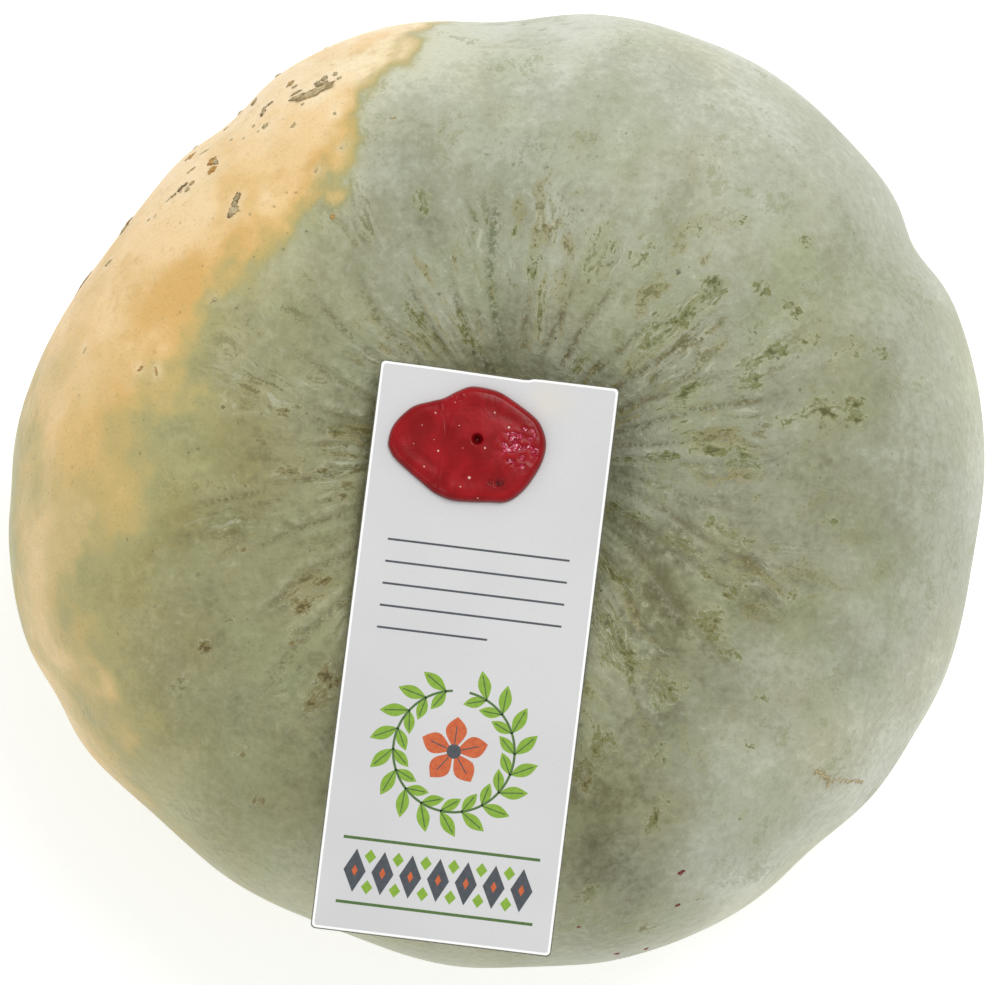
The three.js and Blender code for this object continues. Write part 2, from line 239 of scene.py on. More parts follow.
# Scabs: angle, share of the way down, length round the fruit, width, height, turn, and darkness from 0, which
# is ochre, to 1, which is dark brown
SCABS = [
    (115, 0.313, 6.8, 2.3, 0.5, 12, 0.3), (117.2, 0.322, 2.7, 1.5, 0.45, 10, 0.5),
    (117.9, 0.326, 1.8, 1, 0.35, 10, 0.9), (113.6, 0.321, 2.6, 1, 0.5, 10, 1),
    (113, 0.328, 1.5, 1.7, 0.5, 0, 0.95), (114.1, 0.327, 1.3, 1.1, 0.4, 0, 0.95),
    (111.5, 0.326, 1, 1.2, 0.35, 0, 0.85), (111.2, 0.315, 1, 1.1, 0.35, 0, 0.8),
    (122.2, 0.405, 1.4, 3, 0.45, 20, 0.6), (122.2, 0.351, 1.4, 1.8, 0.45, 0, 1),
    (120.8, 0.354, 1.3, 1, 0.35, 20, 0.9), (121.2, 0.356, 0.9, 0.8, 0.3, 0, 0.9),
    (121.8, 0.358, 0.9, 0.9, 0.3, 0, 0.95), (123, 0.325, 1.5, 1.6, 0.35, 30, 0.75),
    (124.2, 0.346, 0.9, 1.3, 0.3, 0, 0.8), (124.2, 0.329, 0.8, 0.9, 0.3, 0, 0.7),
    (119.8, 0.287, 1.1, 1, 0.3, 0, 0.35), (117.2, 0.36, 1.5, 1.9, 0.4, 20, 0.2),
    (117.2, 0.332, 1.9, 1, 0.4, 10, 0.95), (117, 0.347, 1.2, 0.8, 0.3, 10, 0.7),
    (120.5, 0.22, 0.8, 0.7, 0.25, 0, 0.35), (131.5, 0.341, 1.9, 2.5, 0.5, 0, -0.1),
    (132.3, 0.326, 1.9, 1.5, 0.45, 0, -0.2), (131.2, 0.336, 1, 2.6, 0.5, 0, 0.6),
    (132.8, 0.261, 2.3, 1.3, 0.5, -25, 0.95), (133.6, 0.257, 1.6, 1.3, 0.5, -25, 0.9),
    (134.5, 0.252, 2.3, 2.2, 0.5, -10, 0.45), (135.3, 0.25, 1.1, 1.1, 0.45, 0, 1),
    (132.8, 0.399, 2.2, 2.4, 0.4, 10, 0.1), (131.2, 0.379, 2.3, 0.5, 0.25, 20, 0.8),
    (134.2, 0.361, 2, 0.6, 0.3, 20, 0.75), (137, 0.348, 1.6, 1.2, 0.45, 20, 1),
    (136.2, 0.345, 1.1, 0.9, 0.4, 20, 0.9), (135.5, 0.336, 1.1, 1.1, 0.35, 20, 0.3),
    (136.5, 0.334, 1, 1.2, 0.35, 20, 0.4), (138.2, 0.35, 1.1, 0.7, 0.35, 10, 1),
    (139, 0.354, 1.6, 0.35, 0.2, 10, 0.6), (111, 0.46, 1.1, 1.5, 0.45, 0, 0.6),
    (117.8, 0.461, 1.3, 2, 0.5, 0, 0.7), (144, 0.45, 2.6, 3.8, 0.5, 10, 0.2),
    (145.1, 0.431, 2.6, 2.8, 0.6, 0, 0.7), (153.2, 0.462, 4.6, 3.4, 0.45, 0, 0.2),
    (150.2, 0.384, 1.7, 0.9, 0.35, 15, 0.75), (142.8, 0.363, 0.7, 0.8, 0.25, 0, 0.7),
    (162.5, 0.314, 1.6, 0.8, 0.3, -10, 0.3), (163.2, 0.231, 1.3, 0.7, 0.2, 30, 0.05),
    (163, 0.213, 1.7, 0.5, 0.2, -40, 0.05), (148, 0.202, 0.8, 0.8, 0.25, 0, 0.95),
    (106, 0.231, 1, 0.6, 0.25, 10, 0.95), (115.2, 0.223, 0.5, 0.6, 0.2, 0, 0.7),
    (113.8, 0.266, 0.6, 0.9, 0.2, 0, 0.6), (117.2, 0.306, 0.7, 0.7, 0.2, 0, 0.4),
    (122.5, 0.172, 1.1, 1, 0.25, 30, 0.15), (124.2, 0.456, 1.2, 1.7, 0.4, 0, 0.7),
    (127, 0.41, 1.2, 1, 0.35, 15, 0.5), (131.2, 0.451, 1.3, 1.6, 0.4, 0, 0.6),
    (126.2, 0.342, 0.8, 0.7, 0.2, 0, 0.6), (127.5, 0.36, 0.7, 0.9, 0.2, 0, 0.7),
]
# Thin dry scratches: angle and share down at each end, and the width
SCRATCHES = [
    (317.6, 0.303, 318.1, 0.324, 0.55), (318.5, 0.334, 320.9, 0.381, 0.6), (318.1, 0.326, 317.3, 0.335, 0.4),
]
# Drips of the red wax on the skin: angle, share down, size
WAX_DRIPS = [
    (295.2, 0.301, 1.1), (280.5, 0.34, 0.6), (293.2, 0.349, 0.8), (284.5, 0.425, 0.9), (288, 0.439, 0.7),
]

SCUFF_GROWTH = 1.15
SCUFF_RAGGEDNESS = 0.34
HALO_SHARE = 0.55
# How much of its stated width and height a scab really has, how deep its root goes, and how ragged it is
SCAB_WIDTH_SHARE = 0.88
SCAB_HEIGHT_SHARE = 0.6
SCAB_ROOT = 0.5
SCAB_ROUGHNESS = 0.95

FLOOR_REACH = 4000.0
FLOOR_GLOW = 0.34
SKY_STRENGTH = 0.62

CARD_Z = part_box("card")[1].z / MM
rng = np.random.default_rng(SEED)


def srgb(red, green, blue):
    """A colour given in 0-255 screen values, as the linear colour that a material takes."""
    parts = [c / 255.0 for c in (red, green, blue)]
    return tuple(c / 12.92 if c < 0.04045 else ((c + 0.055) / 1.055) ** 2.4 for c in parts) + (1.0,)


def smooth(value, low, high):
    t = np.clip((value - low) / (high - low), 0.0, 1.0)
    return t * t * (3.0 - 2.0 * t)


def band(value, low, from_low, to_high, high):
    """1 between the middle two values, and 0 outside the outer two."""
    return smooth(value, low, from_low) * (1 - smooth(value, to_high, high))


def bell(value):
    """1 where the value is 0, and falling away on both sides of it."""
    return np.exp(-(value**2))


def signed_angle(a, b):
    return (a - b + 180.0) % 360.0 - 180.0


def table(value, pairs):
    return np.interp(value, [p[0] for p in pairs], [p[1] for p in pairs])


# Shapes


def skin(angle, down):
    """Points of the skin in millimetres. Down runs from 0 at the stem's seat to 1 at the blossom end."""
    angle = np.asarray(angle, float)
    down = np.asarray(down, float)
    first = math.asin(SEAT_SHARE ** (FULLNESS / 2))
    polar = first + (math.pi - first) * down
    share = np.abs(np.sin(polar)) ** (2 / FULLNESS)
    up = np.sign(np.cos(polar)) * np.abs(np.cos(polar)) ** (2 / FULLNESS)
    lobed = smooth(share, SEAT_SHARE, LOBED_FROM_SHARE)
    furrow = sum(d * bell(signed_angle(angle, a) / w) for a, d, w in FURROWS)
    swell = sum(size * np.cos(np.radians(count * (angle - peak))) for count, size, peak in SWELLS)
    squeeze = 1 - furrow * lobed / FRUIT_RADIUS
    reach = share * squeeze * (FRUIT_RADIUS + swell * lobed)
    drift = np.where(up > 0, lobed, 1.0)
    rise = up * squeeze * np.where(up > 0, CROWN_RISE, BASE_DROP)
    stem_hollow = -STEM_HOLLOW_DEPTH * bell(reach / STEM_HOLLOW_RADIUS)
    blossom_hollow = BLOSSOM_HOLLOW_DEPTH * bell(reach / BLOSSOM_HOLLOW_RADIUS)
    x = STEM_AT[0] + DRIFT[0] * drift + reach * np.cos(np.radians(angle))
    y = STEM_AT[1] + DRIFT[1] * drift + reach * np.sin(np.radians(angle))
    z = WIDEST_HEIGHT + rise + np.where(up > 0, stem_hollow, blossom_hollow)
    return np.stack([x, y, np.maximum(z, 0.0)], axis=-1)


def skin_frame(angle, down):
    """A skin point with its directions round the fruit, downhill and outward."""
    place = skin(angle, down)
    around = skin(angle + 0.5, down) - skin(angle - 0.5, down)
    around /= np.linalg.norm(around)
    downhill = skin(angle, down + 0.005) - skin(angle, down - 0.005)
    outward = np.cross(downhill, around)
    outward /= np.linalg.norm(outward)
    return place, around, np.cross(around, outward), outward


def card_point(x, y, z=0.0):
    """A point in the card's axes, z above the card's face, as a point of the row frame in millimetres."""
    turn = math.radians(CARD_TURN)
    across = x * math.cos(turn) - y * math.sin(turn)
    along = x * math.sin(turn) + y * math.cos(turn)
    return (STEM_AT[0] + across, STEM_AT[1] + along, CARD_Z + z)


def capped_faces(columns, rings):
    """Quads between rings of points, and a fan at each end to one of the two points that follow the rings.

    The faces look out when the rings run from low to high.
    """
    faces = []
    last = (rings - 1) * columns
    for low in range(0, last, columns):
        for c in range(columns):
            d = (c + 1) % columns
            faces.append((low + c, low + d, low + columns + d, low + columns + c))
    count = rings * columns
    for c in range(columns):
        d = (c + 1) % columns
        faces.append((count, d, c))
        faces.append((count + 1, last + c, last + d))
    return faces


def make_object(name, points, faces, smooth_faces=True):
    """A mesh object from points in millimetres."""
    mesh = bpy.data.meshes.new(name)
    mesh.from_pydata((np.asarray(points) * MM).tolist(), [], faces)
    mesh.validate()
    mesh.polygons.foreach_set("use_smooth", [smooth_faces] * len(mesh.polygons))
    made = bpy.data.objects.new(name, mesh)
    bpy.context.scene.collection.objects.link(made)
    return made


def give(mesh, name, values):
    """A named value on every point of a mesh, which its material reads."""
    values = np.asarray(values, np.float32)
    vector = values.ndim == 2
    attribute = mesh.attributes.new(name, "FLOAT_VECTOR" if vector else "FLOAT", "POINT")
    attribute.data.foreach_set("vector" if vector else "value", values.ravel())


def noise_at(points, seed):
    """Smooth noise from -1 to 1 at each point of a grid."""
    shift = Vector((seed * 17.3, seed * 5.1, seed * 9.7))
    flat = points.reshape(-1, 3)
    return np.array([noise.noise(Vector(p) + shift) for p in flat]).reshape(points.shape[:-1])


def clouds(points, octaves, seed):
    """Layered noise at each point of a grid, with a mean of 0 and a spread of 1."""
    shift = Vector((seed * 13.7, seed * 4.3, seed * 8.9))
    flat = points.reshape(-1, 3).tolist()
    value = np.array([noise.fractal(Vector(p) + shift, 0.75, 2.0, octaves) for p in flat])
    return ((value - value.mean()) / value.std()).reshape(points.shape[:-1])


def fruit_grid():
    """The plain skin in rings: angles, shares down, points, millimetres down, normals and directions."""
    even = np.arange(FRUIT_ROWS) / FRUIT_ROWS
    down = (even + (1 - np.cos(np.pi * even)) / 2) / 2
    angles, downs = np.meshgrid(np.arange(FRUIT_COLUMNS) * 360.0 / FRUIT_COLUMNS, down)
    points = skin(angles, downs)
    steps = np.linalg.norm(np.diff(points, axis=0), axis=-1)
    run = np.concatenate([np.zeros((1, FRUIT_COLUMNS)), np.cumsum(steps, axis=0)])
    round_step = np.roll(points, -1, axis=1) - np.roll(points, 1, axis=1)
    normals = np.cross(np.gradient(points, axis=0), round_step)
    normals /= np.maximum(np.linalg.norm(normals, axis=-1, keepdims=True), 1e-9)
    turn = np.radians(angles)
    around = np.stack([np.cos(turn), np.sin(turn), 0 * turn], axis=-1)
    return angles, down, points, run, normals, around


def stacked(flat, height):
    """Points from their x and y and their height."""
    return np.concatenate([flat, height[..., None]], axis=-1)


def skin_relief(angles, points, run, around):
    """How far the skin stands off the plain one, and where creases, ridges, cracks and its button are."""
    # Radial wrinkles in the hollow that die away over the shoulder, and slow dents all over
    bent = around[..., :2] + noise_at(points / 26.0, 12)[..., None] * 0.05
    fine = noise_at(stacked(bent * 17.0, run * 0.03), 1)
    finer = noise_at(stacked(bent * 36.0, run * 0.06), 2)
    wrinkles = -WRINKLE_DEPTH * (1 - np.abs(fine) / 0.5).clip(0, 1) ** 2
    wrinkles = wrinkles - FINE_WRINKLE_DEPTH * (1 - np.abs(finer) / 0.5).clip(0, 1) ** 2
    hollow = band(run, 1.0, 9.0, 22.0, 66.0)
    dents = noise_at(points / 19.0, 3)
    ripple = noise_at(points / 7.5, 4)
    on_side = band(run, 3.0, 20.0, 168.0, 200.0)
    offset = -SKIN_INSET * smooth(run, 0.0, 4.0) + wrinkles * hollow
    offset += on_side * (DENT_DEPTH * dents - DENT_DEPTH + RIPPLE_DEPTH * ripple - RIPPLE_DEPTH)

    # Folds: a ridge with a groove beside it
    creases = np.zeros_like(run)
    ridges = np.zeros_like(run)
    radius = np.maximum(from_stem(points), 5.0)
    for a0, mm0, a1, mm1, width, height in FOLDS:
        along = np.clip((run - mm0) / (mm1 - mm0), 0, 1)
        wave = 0.8 * np.sin(run / 5.0 + a0)
        aside = np.radians(signed_angle(angles, a0 + (a1 - a0) * along)) * radius - 0.5 * wave
        ends = band(run, mm0 - 3, mm0 + 5, mm1 - 12, mm1 + 3)
        ridge = bell(aside / width) * ends
        groove = bell((aside - 1.7 * width) / width) * ends
        sag = 0.35 * ends * bell(aside / (3 * width))
        offset += FOLD_SHARE * height * (0.9 * ridge - groove - sag)
        creases = np.maximum(creases, groove)
        ridges = np.maximum(ridges, ridge)

    # Dry growth cracks across the furrow at the back
    cracked = bell(signed_angle(angles, 86.5) / 6.5)
    cracked = cracked * band(run, 78.0, 90.0, 112.0, 122.0)
    bands = np.sin(run * 2.1 + 2.6 * noise_at(points / 9.0, 6))
    broken = smooth(noise_at(np.stack([angles * 0.35, run * 0.8, 0 * run], axis=-1), 13), -0.1, 0.25)
    cracked = cracked * smooth(bands, 0.5, 0.95) * broken
    offset -= CRACK_DEPTH * cracked

    # The dry button at the blossom end
    whole_run = run.max(axis=0, keepdims=True)
    button = smooth(run, whole_run - 9.0, whole_run - 5.0)
    offset += button * (0.25 * noise_at(points / 1.6, 5) - 0.4)
    return offset, {"creases": creases, "ridges": ridges, "cracks": cracked, "button": button}


def from_stem(points):
    return np.hypot(points[..., 0] - STEM_AT[0], points[..., 1] - STEM_AT[1])


def spots(rows, angles, run):
    """Soft oval spots: angle, millimetres down, half width in degrees, half length, strength."""
    total = np.zeros_like(run)
    for a, mm, half_angle, half_mm, strength in rows:
        spot = np.exp(-((signed_angle(angles, a) / half_angle) ** 2) - ((run - mm) / half_mm) ** 2)
        total = 1 - (1 - total) * (1 - strength * spot)
    return total


def ragged_spots(rows, raggedness, angles, points, run):
    """Spots with a torn edge: angle, millimetres down, half width in millimetres, half length, strength."""
    radius = from_stem(points)
    warp = clouds(points / 5.0, 3, 21) * raggedness
    other_warp = clouds(points / 5.0, 3, 22) * raggedness
    total = np.zeros_like(run)
    for a, mm, wide, long, strength in rows:
        wide = np.maximum(wide, 0.012 * radius)
        aside = np.radians(signed_angle(angles, a)) * radius / wide + warp
        below = (run - mm) / long + other_warp
        total = np.maximum(total, strength * np.exp(-(aside**2) - below**2))
    return total


def green_masks(angles, points, run, around):
    """Where the green skin is dark or pale, streaked, worn, yellow green or crowded with dots."""
    # Dark and olive in the hollow, paler outwards, in soft radial bands; the dark is partly the skin's own
    # olive and partly painted shade, in the hollow under the card and on the -Y side
    dark_to = table(angles, DARK_TO)
    tone = np.clip((run - dark_to) / (table(angles, PALE_FROM) - dark_to), 0.0, 1.25)
    # The patches include the card's painted shadow beside its right edge
    tone = tone * (1 - 0.85 * spots(OLIVE_AND_SHADE_PATCHES, angles, run))
    mottling = 0.11 * clouds(points / 45.0, 3, 23)
    mottling = mottling + 0.1 * clouds(stacked(around[..., :2] * 5.0, run * 0.03), 3, 24)
    mottling = mottling + 0.05 * clouds(points / 14.0, 3, 25)
    tone = tone + mottling * (1 - 0.45 * smooth(run, 50.0, 90.0))
    furrow = [max(d, 0) / 4.7 * bell(signed_angle(angles, a) / (w * 0.6)) for a, d, w in FURROWS]

    streaky = smooth(clouds(points / 17.0, 3, 26), -0.1, 1.4) * (1 - smooth(run, 22.0, 84.0))
    thin_streaky = smooth(clouds(points / 13.0, 3, 27), 0.0, 1.6)
    thin_streaky = thin_streaky * band(run, 9.0, 20.0, 30.0, 72.0)
    worn = smooth(clouds(points / 12.0, 6, 28), 0.3, 2.4) * smooth(run, 4.0, 16.0)
    tinted = 1.4 * spots(GREEN_TINTS, angles, run) * smooth(clouds(points / 8.0, 4, 41), -1.3, 0.7)
    crowd = 0.35 + 0.65 * smooth(clouds(points / 20.0, 2, 30), -0.6, 0.9)

    # The furrow at the back shows as a thin green line near the stem
    bend = 91.5 + 2.0 * np.sin(run / 9.0)
    line = bell(signed_angle(angles, bend) / (1.2 + 14.0 / (run + 6.0)))
    scuffs = [(a, mm, SCUFF_GROWTH * w, SCUFF_GROWTH * h, s) for a, mm, w, h, s in SCUFFS]
    return {
        "tone": tone,
        "warmth": table(angles, WARMTH) + 0.16 * clouds(points / 30.0, 2, 36),
        "streaky": streaky,
        "thin_streaky": thin_streaky,
        "worn": worn,
        "leaf": np.maximum(0.6 * smooth(clouds(points / 24.0, 4, 29), 0.1, 1.5), tinted),
        "crowd": crowd * (1 - 0.65 * smooth(run, 20.0, 110.0)),
        "furrow": np.clip(sum(furrow), 0, 1),
        "green_line": line * band(run, 2, 8, 34, 50),
        "scuff": ragged_spots(scuffs, SCUFF_RAGGEDNESS, angles, points, run),
    }


def ripe_masks(angles, down, points, run):
    """Where the sunny shoulder is orange, deep orange, cream, yellowish, or pale round its scabs."""
    depth = np.minimum(run - table(angles, RIPE_INNER), table(angles, RIPE_OUTER) - run)
    depth = np.where((angles > 86) & (angles < 252), depth, -60.0)
    depth = depth + 2.4 * clouds(points / 19.0, 4, 31) + 1.5 * clouds(points / 6.0, 3, 32)
    strength = table(angles, RIPE_STRENGTH)
    blend = table(angles, [(100, 0.9), (145, 0.9), (160, 1.35), (180, 2.0), (250, 2.0)])
    # Low on the back the orange fades out slowly
    blend = blend * (1 + 1.1 * smooth(run, 96.0, 140.0) * table(angles, [(145, 1.0), (165, 0.0)]))
    ripe = smooth(depth, -9.0 * blend, 17.0 * blend) * strength
    blotches = 0.085 * clouds(points / 18.0, 4, 33) * smooth(depth, -14.0, 8.0)
    yellowing = smooth(depth, -34.0, 0.0) * np.minimum(strength * 1.6, 1)
    cream = smooth(clouds(points / 20.0, 4, 35) + 2.6 * smooth(run, 60.0, 98.0) - 0.75, -0.4, 1.6)
    halos = []
    for a, share, length, width, _, _, _ in SCABS:
        mm = np.interp(share, down, run[:, int(round(a * FRUIT_COLUMNS / 360)) % FRUIT_COLUMNS])
        size = (length + width) / 3.2 + 0.9
        halos.append((a, mm, size, size, HALO_SHARE))
    return {
        "ripe": ripe + blotches * np.minimum(strength * 1.3, 1),
        "ripe_depth": spots(RIPE_DEPTHS, angles, run) + 0.17 * clouds(points / 17.0, 4, 34),
        "yellowing": yellowing * table(angles, [(118, 0.25), (136, 0.65), (155, 1.0)]),
        "cream": cream * table(angles, CREAM_SHARE),
        "halo": ragged_spots(halos, 0.16, angles, points, run),
    }


def fruit_mesh():
    """The skin as a fine closed mesh with real wrinkles, and the values that colour it."""
    angles, down, points, run, normals, around = fruit_grid()
    offset, masks = skin_relief(angles, points, run, around)
    points = points + normals * offset[..., None]
    points[..., 2] = np.maximum(points[..., 2], 0.0)
    masks.update(green_masks(angles, points, run, around))
    masks.update(ripe_masks(angles, down, points, run))

    # The streaks follow the skin's own bends
    swirl = np.zeros_like(points)
    for axis in (0, 1):
        bends = 0.015 * clouds(points / 22.0, 3, 37 + axis)
        swirl[..., axis] = bends + 0.006 * clouds(points / 5.0, 2, 39 + axis)

    # Rings run upwards, so that the faces look out
    rings = points[::-1].reshape(-1, 3)
    bottom = skin(0.0, 1.0)
    top = np.array([STEM_AT[0], STEM_AT[1], skin(0.0, 0.0)[2]])
    faces = capped_faces(FRUIT_COLUMNS, FRUIT_ROWS)
    made = make_object("squash_skin", np.vstack([rings, [bottom], [top]]), faces)
    directions = (around + swirl)[::-1].reshape(-1, 3)
    give(made.data, "around", np.vstack([directions, [(1, 0, 0)], [(1, 0, 0)]]))
    give(made.data, "run_mm", np.append(run[::-1].ravel(), [run.max(), 0.0]))
    for name, mask in masks.items():
        give(made.data, name, np.append(mask[::-1].ravel(), [mask[-1].mean(), mask[0].mean()]))
    return made


def lump(length, width, height, detail):
    """A low ragged oval lump as points and faces, lying along x with its root below z = 0."""
    ball = bmesh.new()
    bmesh.ops.create_icosphere(ball, subdivisions=detail, radius=1.0)
    shift = Vector(rng.uniform(-50, 50, 3))
    points = []
    for vert in ball.verts:
        edge = 1 + SCAB_ROUGHNESS * noise.noise(vert.co * 1.9 + shift)
        edge += 0.7 * SCAB_ROUGHNESS * noise.noise(vert.co * 5.3 + shift)
        top = 1 + 0.5 * SCAB_ROUGHNESS * noise.noise(vert.co * 7.0 + shift)
        up = vert.co.z * (height * top if vert.co.z > 0 else SCAB_ROOT)
        points.append((vert.co.x * edge * length / 2, vert.co.y * edge * width / 2, up))
    faces = [tuple(v.index for v in face.verts) for face in ball.faces]
    ball.free()
    return np.array(points), faces


def joined_lumps(name, items):
    """Lumps set on the skin and joined in one object. An item has what a row of SCABS has."""
    points, faces, darkness, edges = [], [], [], []
    start = 0
    for angle, down, length, width, height, turn, dark in items:
        detail = 4 if length * width > 8 else 3
        local, local_faces = lump(length, width * SCAB_WIDTH_SHARE, height * SCAB_HEIGHT_SHARE, detail)
        place, around, across, outward = skin_frame(angle, down)
        c, s = math.cos(math.radians(turn)), math.sin(math.radians(turn))
        along_turned = around * c + across * s
        across_turned = across * c - around * s
        place = place - outward * (SKIN_INSET + 0.2)
        world = place + local[:, :1] * along_turned + local[:, 1:2] * across_turned + local[:, 2:] * outward
        flip = np.dot(np.cross(along_turned, across_turned), outward) < 0
        faces += [tuple(i + start for i in (face[::-1] if flip else face)) for face in local_faces]
        start += len(local)
        points.append(world)
        darkness.append(np.full(len(local), dark))
        edges.append(np.hypot(local[:, 0] / length, local[:, 1] / width) * 2)
    made = make_object(name, np.vstack(points), faces)
    give(made.data, "darkness", np.concatenate(darkness))
    give(made.data, "edge", np.concatenate(edges))
    return made


def scratch_lumps():
    """Thin dry scratches as chains of small lumps that run together, in rows like those of SCABS."""
    items = []
    for a0, d0, a1, d1, width in SCRATCHES:
        for t in np.linspace(0, 1, 9):
            wobble = rng.normal(0, 0.12, 2)
            angle = a0 + (a1 - a0) * t + wobble[0]
            down = d0 + (d1 - d0) * t + wobble[1] * 0.005
            length = width * rng.uniform(1.3, 2.2)
            lump_width = width * rng.uniform(0.7, 1.1)
            items.append((angle, down, length, lump_width, 0.3, rng.uniform(-30, 30), 0.55))
    return items


def stem_mesh():
    """The cut stem: a corky stump with ridges that run up it."""
    low, high = (v.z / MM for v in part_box("stem"))
    angle = np.arange(STEM_COLUMNS) * 2 * np.pi / STEM_COLUMNS
    rings = []
    for row in range(STEM_ROWS):
        up = row / (STEM_ROWS - 1)
        radius = STEM_WAIST + STEM_SPREAD * (1 - up) ** 2.5
        radius = radius + STEM_RIDGE_HEIGHT * np.cos(STEM_RIDGES * angle + 1.5 * up) - 0.1
        local = np.stack([np.cos(angle) * 3.0, np.sin(angle) * 3.0, np.full(STEM_COLUMNS, up * 1.2)], axis=-1)
        radius += 0.45 * noise_at(local * 1.6, 7) + 0.25 * noise_at(local * 4.5, 8) - 0.35
        x = STEM_AT[0] + STEM_LEAN[0] * up + radius * np.cos(angle)
        y = STEM_AT[1] + STEM_LEAN[1] * up + radius * np.sin(angle)
        rings.append(np.stack([x, y, np.full(STEM_COLUMNS, low + (high - low) * up)], axis=-1))
    middle_low = (STEM_AT[0], STEM_AT[1], low)
    middle_high = (STEM_AT[0] + STEM_LEAN[0], STEM_AT[1] + STEM_LEAN[1], high)
    points = np.vstack(rings + [[middle_low], [middle_high]])
    return make_object("stem_stump", points, capped_faces(STEM_COLUMNS, STEM_ROWS))


def card_loop(inset):
    """The card's outline, moved in by inset, with the small dent in its top edge."""
    left, right = CARD_LEFT + inset, CARD_RIGHT - inset
    bottom, top = CARD_BOTTOM + inset, CARD_TOP - inset
    r = CARD_CORNER - inset * 0.5
    dent = [(4.5, 0), (2.6, 0.1), (1.6, 0.42), (0.4, 0.5), (-6.0, 0.36), (-16.0, 0.14)]
    corners = [(right - r, bottom + r), (right - r, top - r), (left + r, top - r), (left + r, bottom + r)]
    loop = []
    for (cx, cy), start in zip(corners, (-90, 0, 90, 180)):
        for step in range(7):
            a = math.radians(start + 15 * step)
            loop.append((cx + r * math.cos(a), cy + r * math.sin(a)))
        if start == 0:
            loop += [(x, top - drop) for x, drop in dent]
    return loop


def hole_loop(inset):
    radius = HOLE_RADIUS + inset
    turns = np.linspace(0, 2 * np.pi, 41)[:-1]
    return [(HOLE_AT[0] + radius * math.cos(a), HOLE_AT[1] - radius * math.sin(a)) for a in turns]


def plate(name, loops_by_level, heights, side_slots=None):
    """A closed flat plate in the card's axes: the same loops at each level, with the outer loop first."""
    points, faces, slots = [], [], []
    sizes = [len(loop) for loop in loops_by_level[0]]
    per_level = sum(sizes)
    for loops, height in zip(loops_by_level, heights):
        for loop in loops:
            points += [card_point(x, y, height) for x, y in loop]
    for level in range(len(heights) - 1):
        first = level * per_level
        for size in sizes:
            for c in range(size):
                d = (c + 1) % size
                faces.append((first + c, first + d, first + per_level + d, first + per_level + c))
                slots.append(side_slots[level] if side_slots else 0)
            first += size
    for level, flip in ((0, True), (len(heights) - 1, False)):
        loops = [[Vector((x, y, 0)) for x, y in loop] for loop in loops_by_level[level]]
        flat = [p for loop in loops for p in loop]
        for a, b, c in tessellate_polygon(loops):
            area = (flat[b] - flat[a]).cross(flat[c] - flat[a]).z
            face = (a, b, c) if area > 0 else (a, c, b)
            if flip:
                face = face[::-1]
            faces.append(tuple(i + level * per_level for i in face))
            slots.append(0)
    made = make_object(name, points, faces, smooth_faces=False)
    made.data.polygons.foreach_set("material_index", slots)
    return made


def card_mesh():
    e = CARD_EDGE_ROUNDING
    thickness = (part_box("card")[1].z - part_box("card")[0].z) / MM
    # The bevel's outer slope takes a dark paint, a painted shadow line along the card's edge, and the band
    # just inside it a near-white paint, a painted highlight along the edge
    levels = [
        (e, -thickness),
        (e * 0.3, -thickness + e * 0.3),
        (0, -thickness + e),
        (0, -0.36),
        (CARD_SHADE_LINE, -0.12),
        (CARD_SHADE_LINE + 0.06, -0.03),
        (CARD_SHADE_LINE + 0.12, -0.008),
        (CARD_SHADE_LINE + 0.5, 0),
    ]
    loops = [[card_loop(inset), hole_loop(inset)] for inset, _ in levels]
    return plate("card_board", loops, [z for _, z in levels], [2, 2, 2, 2, 1, 1, 1])


# The printed design: plain writing lines, a leaf wreath with a blossom in it, and a border of diamonds


def leaf_shape(x, y, turn, length, width, blunt=1.0):
    """A pointed oval whose base is at x, y, as a loop."""
    loop = []
    for side in (1, -1):
        steps = range(0, 11) if side == 1 else range(9, 0, -1)
        for step in steps:
            t = step / 10
            half = width / 2 * math.sin(math.pi * t**blunt)
            loop.append((length * t, -side * half))
    c, s = math.cos(math.radians(turn)), math.sin(math.radians(turn))
    return [(x + px * c - py * s, y + px * s + py * c) for px, py in loop]


def disc_shape(x, y, radius):
    turns = np.linspace(0, 2 * np.pi, 29)[:-1]
    return [(x + radius * math.cos(a), y + radius * math.sin(a)) for a in turns]


def stroke_shape(centre_line, width):
    """A thin band along a line of points."""
    line = np.array(centre_line, float)
    ahead = np.gradient(line, axis=0)
    ahead /= np.linalg.norm(ahead, axis=1, keepdims=True)
    side = np.stack([-ahead[:, 1], ahead[:, 0]], axis=1) * width / 2
    return [tuple(p) for p in np.vstack([line - side, (line + side)[::-1]])]


def box_shape(x0, y0, x1, y1):
    return [(x0, y0), (x1, y0), (x1, y1), (x0, y1)]


def diamond_shape(x, y, half_width, half_height):
    return [(x - half_width, y), (x, y - half_height), (x + half_width, y), (x, y + half_height)]


def ink(name, shapes, level):
    """Printed shapes as one object: very thin plates on the card's face."""
    parts = []
    for number, loop in enumerate(shapes):
        parts.append(plate(f"{name}_{number}", [[loop], [loop]], [-0.03, 0.02 + 0.012 * level]))
    mesh = bmesh.new()
    for part in parts:
        mesh.from_mesh(part.data)
        bpy.data.objects.remove(part)
    merged = bpy.data.meshes.new(name)
    mesh.to_mesh(merged)
    mesh.free()
    made = bpy.data.objects.new(name, merged)
    bpy.context.scene.collection.objects.link(made)
    return made


